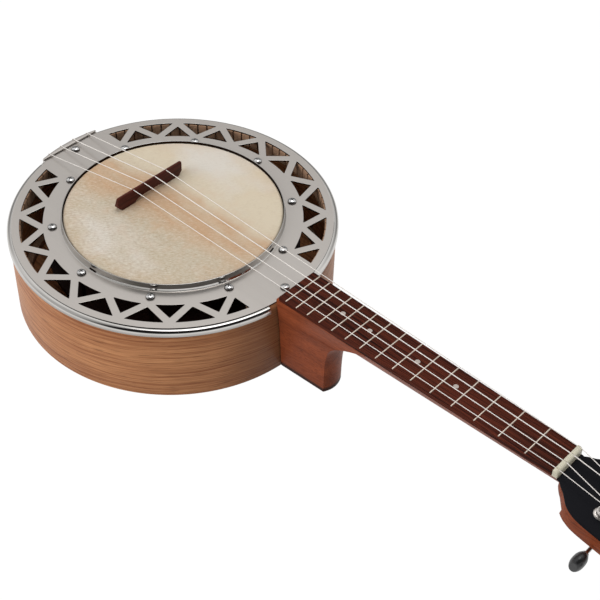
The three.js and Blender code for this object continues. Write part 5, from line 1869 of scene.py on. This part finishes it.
def make_stage(settings, layout):
    stage = settings.stage
    scene = bpy.context.scene
    scene.view_settings.view_transform = "Standard"

    camera = linked("camera", bpy.data.cameras.new("camera"))
    camera.data.lens = stage.lens
    camera.data.clip_end = 50
    azimuth, out = stage.azimuth, math.cos(stage.elevation)
    back = Vector((math.sin(azimuth) * out, -math.cos(azimuth) * out, math.sin(stage.elevation)))
    right = Vector((0, 0, 1)).cross(back).normalized()
    axes = Matrix((right, back.cross(right), back)).transposed().to_4x4()
    spot = Vector((stage.camera_x, stage.camera_y, stage.camera_z))
    camera.matrix_world = (Matrix.Translation(spot) @ axes
                           @ Matrix.Rotation(stage.roll, 4, "Z"))
    scene.camera = camera

    white = Finish("floor_white")
    tree = white.tree
    path = white.node("ShaderNodeLightPath")
    seen = path["Is Camera Ray"].larger(path["Is Glossy Ray"]).larger(path["Is Transmission Ray"])
    shine = white.node("ShaderNodeEmission", {}, {"Color": (1, 1, 1), "Strength": 1.07})
    matt = white.node("ShaderNodeBsdfDiffuse", {}, {"Color": (0.35, 0.35, 0.35)})
    mixed = white.node("ShaderNodeMixShader", {}, {0: seen * 0.94, 1: matt, 2: shine})
    tree.links.new(mixed.socket, tree.nodes["Material Output"].inputs["Surface"])
    bm = bmesh.new()
    far = stage.floor
    bm.faces.new([bm.verts.new((x, y, 0)) for x, y in rectangle(-far, far, -far, far)])
    floor = piece_from("floor", bm, white.material, recalc=False)

    world = bpy.data.worlds.new("studio")
    world.use_nodes = True
    scene.world = world
    sky = Nodes(world.node_tree)
    path = sky.node("ShaderNodeLightPath")
    seen = path["Is Camera Ray"].larger(path["Is Transmission Ray"])
    x, y, z = sky.split(sky.node("ShaderNodeTexCoord")["Generated"])
    reach = (x * x + y * y + 0.0001) ** 0.5

    def facing(angle, low, high):
        """A share for the directions round one azimuth."""
        return ((x * math.sin(angle) - y * math.cos(angle)) / reach).between(low, high)

    ceiling = 1 - z.between(0.965, 0.99)
    dark_side = facing(stage.room, 0.15, 0.55)
    dark = dark_side * z.between(0.12, 0.2) * ceiling
    grey = facing(stage.room - math.radians(75), 0.5, 0.9) * ceiling * 0.4
    backdrop = facing(stage.azimuth + math.pi, 0.3, 0.8) * (1 - z.between(0.46, 0.72)) * 0.7
    mirrored = (1 - dark * (1 - stage.shade)) * (1 - grey) * (1 - backdrop)
    glossy = path["Is Glossy Ray"]
    soft = (1 - dark_side * 0.15) * stage.daylight
    level = seen.larger(glossy * mirrored + (1 - glossy) * soft)
    background = world.node_tree.nodes["Background"]
    background.inputs["Color"].default_value = (1, 1, 1, 1)
    sky.feed(background.inputs["Strength"], level)

    for name, place, aim, wide, power in (
        ("key", (1.8, -0.5, 1.3), (0, 0.1, 0), 1.7, 32),
        ("top", (-0.3, 0.1, 2.2), (0, 0.1, 0), 1.2, 10),
    ):
        lamp = bpy.data.lights.new(name, "AREA")
        lamp.size = wide
        lamp.energy = power
        light = linked(name, lamp)
        light.visible_glossy = name == "top"
        spot = Vector(place)
        light.matrix_world = (Matrix.Translation(spot)
                              @ (spot - Vector(aim)).to_track_quat("Z", "Y").to_matrix().to_4x4())


# The add-on's face

class PieceOperator:
    """What the piece operators share."""

    bl_options = {"REGISTER", "UNDO"}

    def build(self, context, *makers):
        settings = context.scene.banjo_ukulele
        layout = Layout(settings)
        for maker in makers:
            maker(settings, layout)
        return {"FINISHED"}


class UKE_OT_pot(PieceOperator, Operator):
    """Build the pot's side and back, and dress the woodwork inside"""
    bl_idname = "uke.pot"
    bl_label = "Pot"

    def execute(self, context):
        return self.build(context, make_pot)


class UKE_OT_plate(PieceOperator, Operator):
    """Build the pierced cover plate with its rim and collar"""
    bl_idname = "uke.plate"
    bl_label = "Cover plate"

    def execute(self, context):
        return self.build(context, make_plate)


class UKE_OT_drum(PieceOperator, Operator):
    """Build the skin, the tone ring and the flesh hoop"""
    bl_idname = "uke.drum"
    bl_label = "Drum"

    def execute(self, context):
        return self.build(context, make_drum)


class UKE_OT_screws(PieceOperator, Operator):
    """Build the domed screws on the cover plate"""
    bl_idname = "uke.screws"
    bl_label = "Screws"

    def execute(self, context):
        return self.build(context, make_screws)


class UKE_OT_tailpiece(PieceOperator, Operator):
    """Build the tailpiece and the strap button"""
    bl_idname = "uke.tailpiece"
    bl_label = "Tailpiece"

    def execute(self, context):
        return self.build(context, make_tailpiece)


class UKE_OT_neck(PieceOperator, Operator):
    """Build the neck with its heel, and the headstock"""
    bl_idname = "uke.neck"
    bl_label = "Neck"

    def execute(self, context):
        return self.build(context, make_neck)


class UKE_OT_fretboard(PieceOperator, Operator):
    """Build the fretboard, its frets and dots, and the nut"""
    bl_idname = "uke.fretboard"
    bl_label = "Fretboard"

    def execute(self, context):
        return self.build(context, make_fretboard, make_frets, make_dots, make_nut)


class UKE_OT_bridge(PieceOperator, Operator):
    """Build the floating bridge"""
    bl_idname = "uke.bridge"
    bl_label = "Bridge"

    def execute(self, context):
        return self.build(context, make_bridge)


class UKE_OT_strings(PieceOperator, Operator):
    """Build the four strings"""
    bl_idname = "uke.strings"
    bl_label = "Strings"

    def execute(self, context):
        return self.build(context, make_strings)


class UKE_OT_tuners(PieceOperator, Operator):
    """Build the tuners: mounts, knobs, posts and ferrules"""
    bl_idname = "uke.tuners"
    bl_label = "Tuners"

    def execute(self, context):
        return self.build(context, make_tuners)


class UKE_OT_stage(PieceOperator, Operator):
    """Set the floor, the light and the camera"""
    bl_idname = "uke.stage"
    bl_label = "Stage"

    def execute(self, context):
        return self.build(context, make_stage)


PIECES = [UKE_OT_pot, UKE_OT_plate, UKE_OT_drum, UKE_OT_screws, UKE_OT_tailpiece, UKE_OT_neck,
          UKE_OT_fretboard, UKE_OT_bridge, UKE_OT_strings, UKE_OT_tuners, UKE_OT_stage]


class UKE_PT_panel(Panel):
    """Lists the instrument's pieces"""
    bl_idname = "UKE_PT_panel"
    bl_label = "Banjo Ukulele"
    bl_space_type = "VIEW_3D"
    bl_region_type = "UI"
    bl_category = "Banjo Ukulele"

    def draw(self, context):
        for piece in PIECES:
            self.layout.operator(piece.bl_idname)


GROUPS = [PotSettings, PlateSettings, DrumSettings, ScrewSettings, TailSettings, NeckSettings,
          BoardSettings, HeadSettings, StringSettings, BridgeSettings, TunerSettings,
          StageSettings, InstrumentSettings]


def register():
    for cls in GROUPS + PIECES + [UKE_PT_panel]:
        bpy.utils.register_class(cls)
    bpy.types.Scene.banjo_ukulele = PointerProperty(type=InstrumentSettings)


def unregister():
    del bpy.types.Scene.banjo_ukulele
    for cls in reversed(GROUPS + PIECES + [UKE_PT_panel]):
        bpy.utils.unregister_class(cls)


def main():
    register()
    for piece in PIECES:
        group, action = piece.bl_idname.split(".")
        getattr(getattr(bpy.ops, group), action)()


if __name__ == "__main__":
    main()
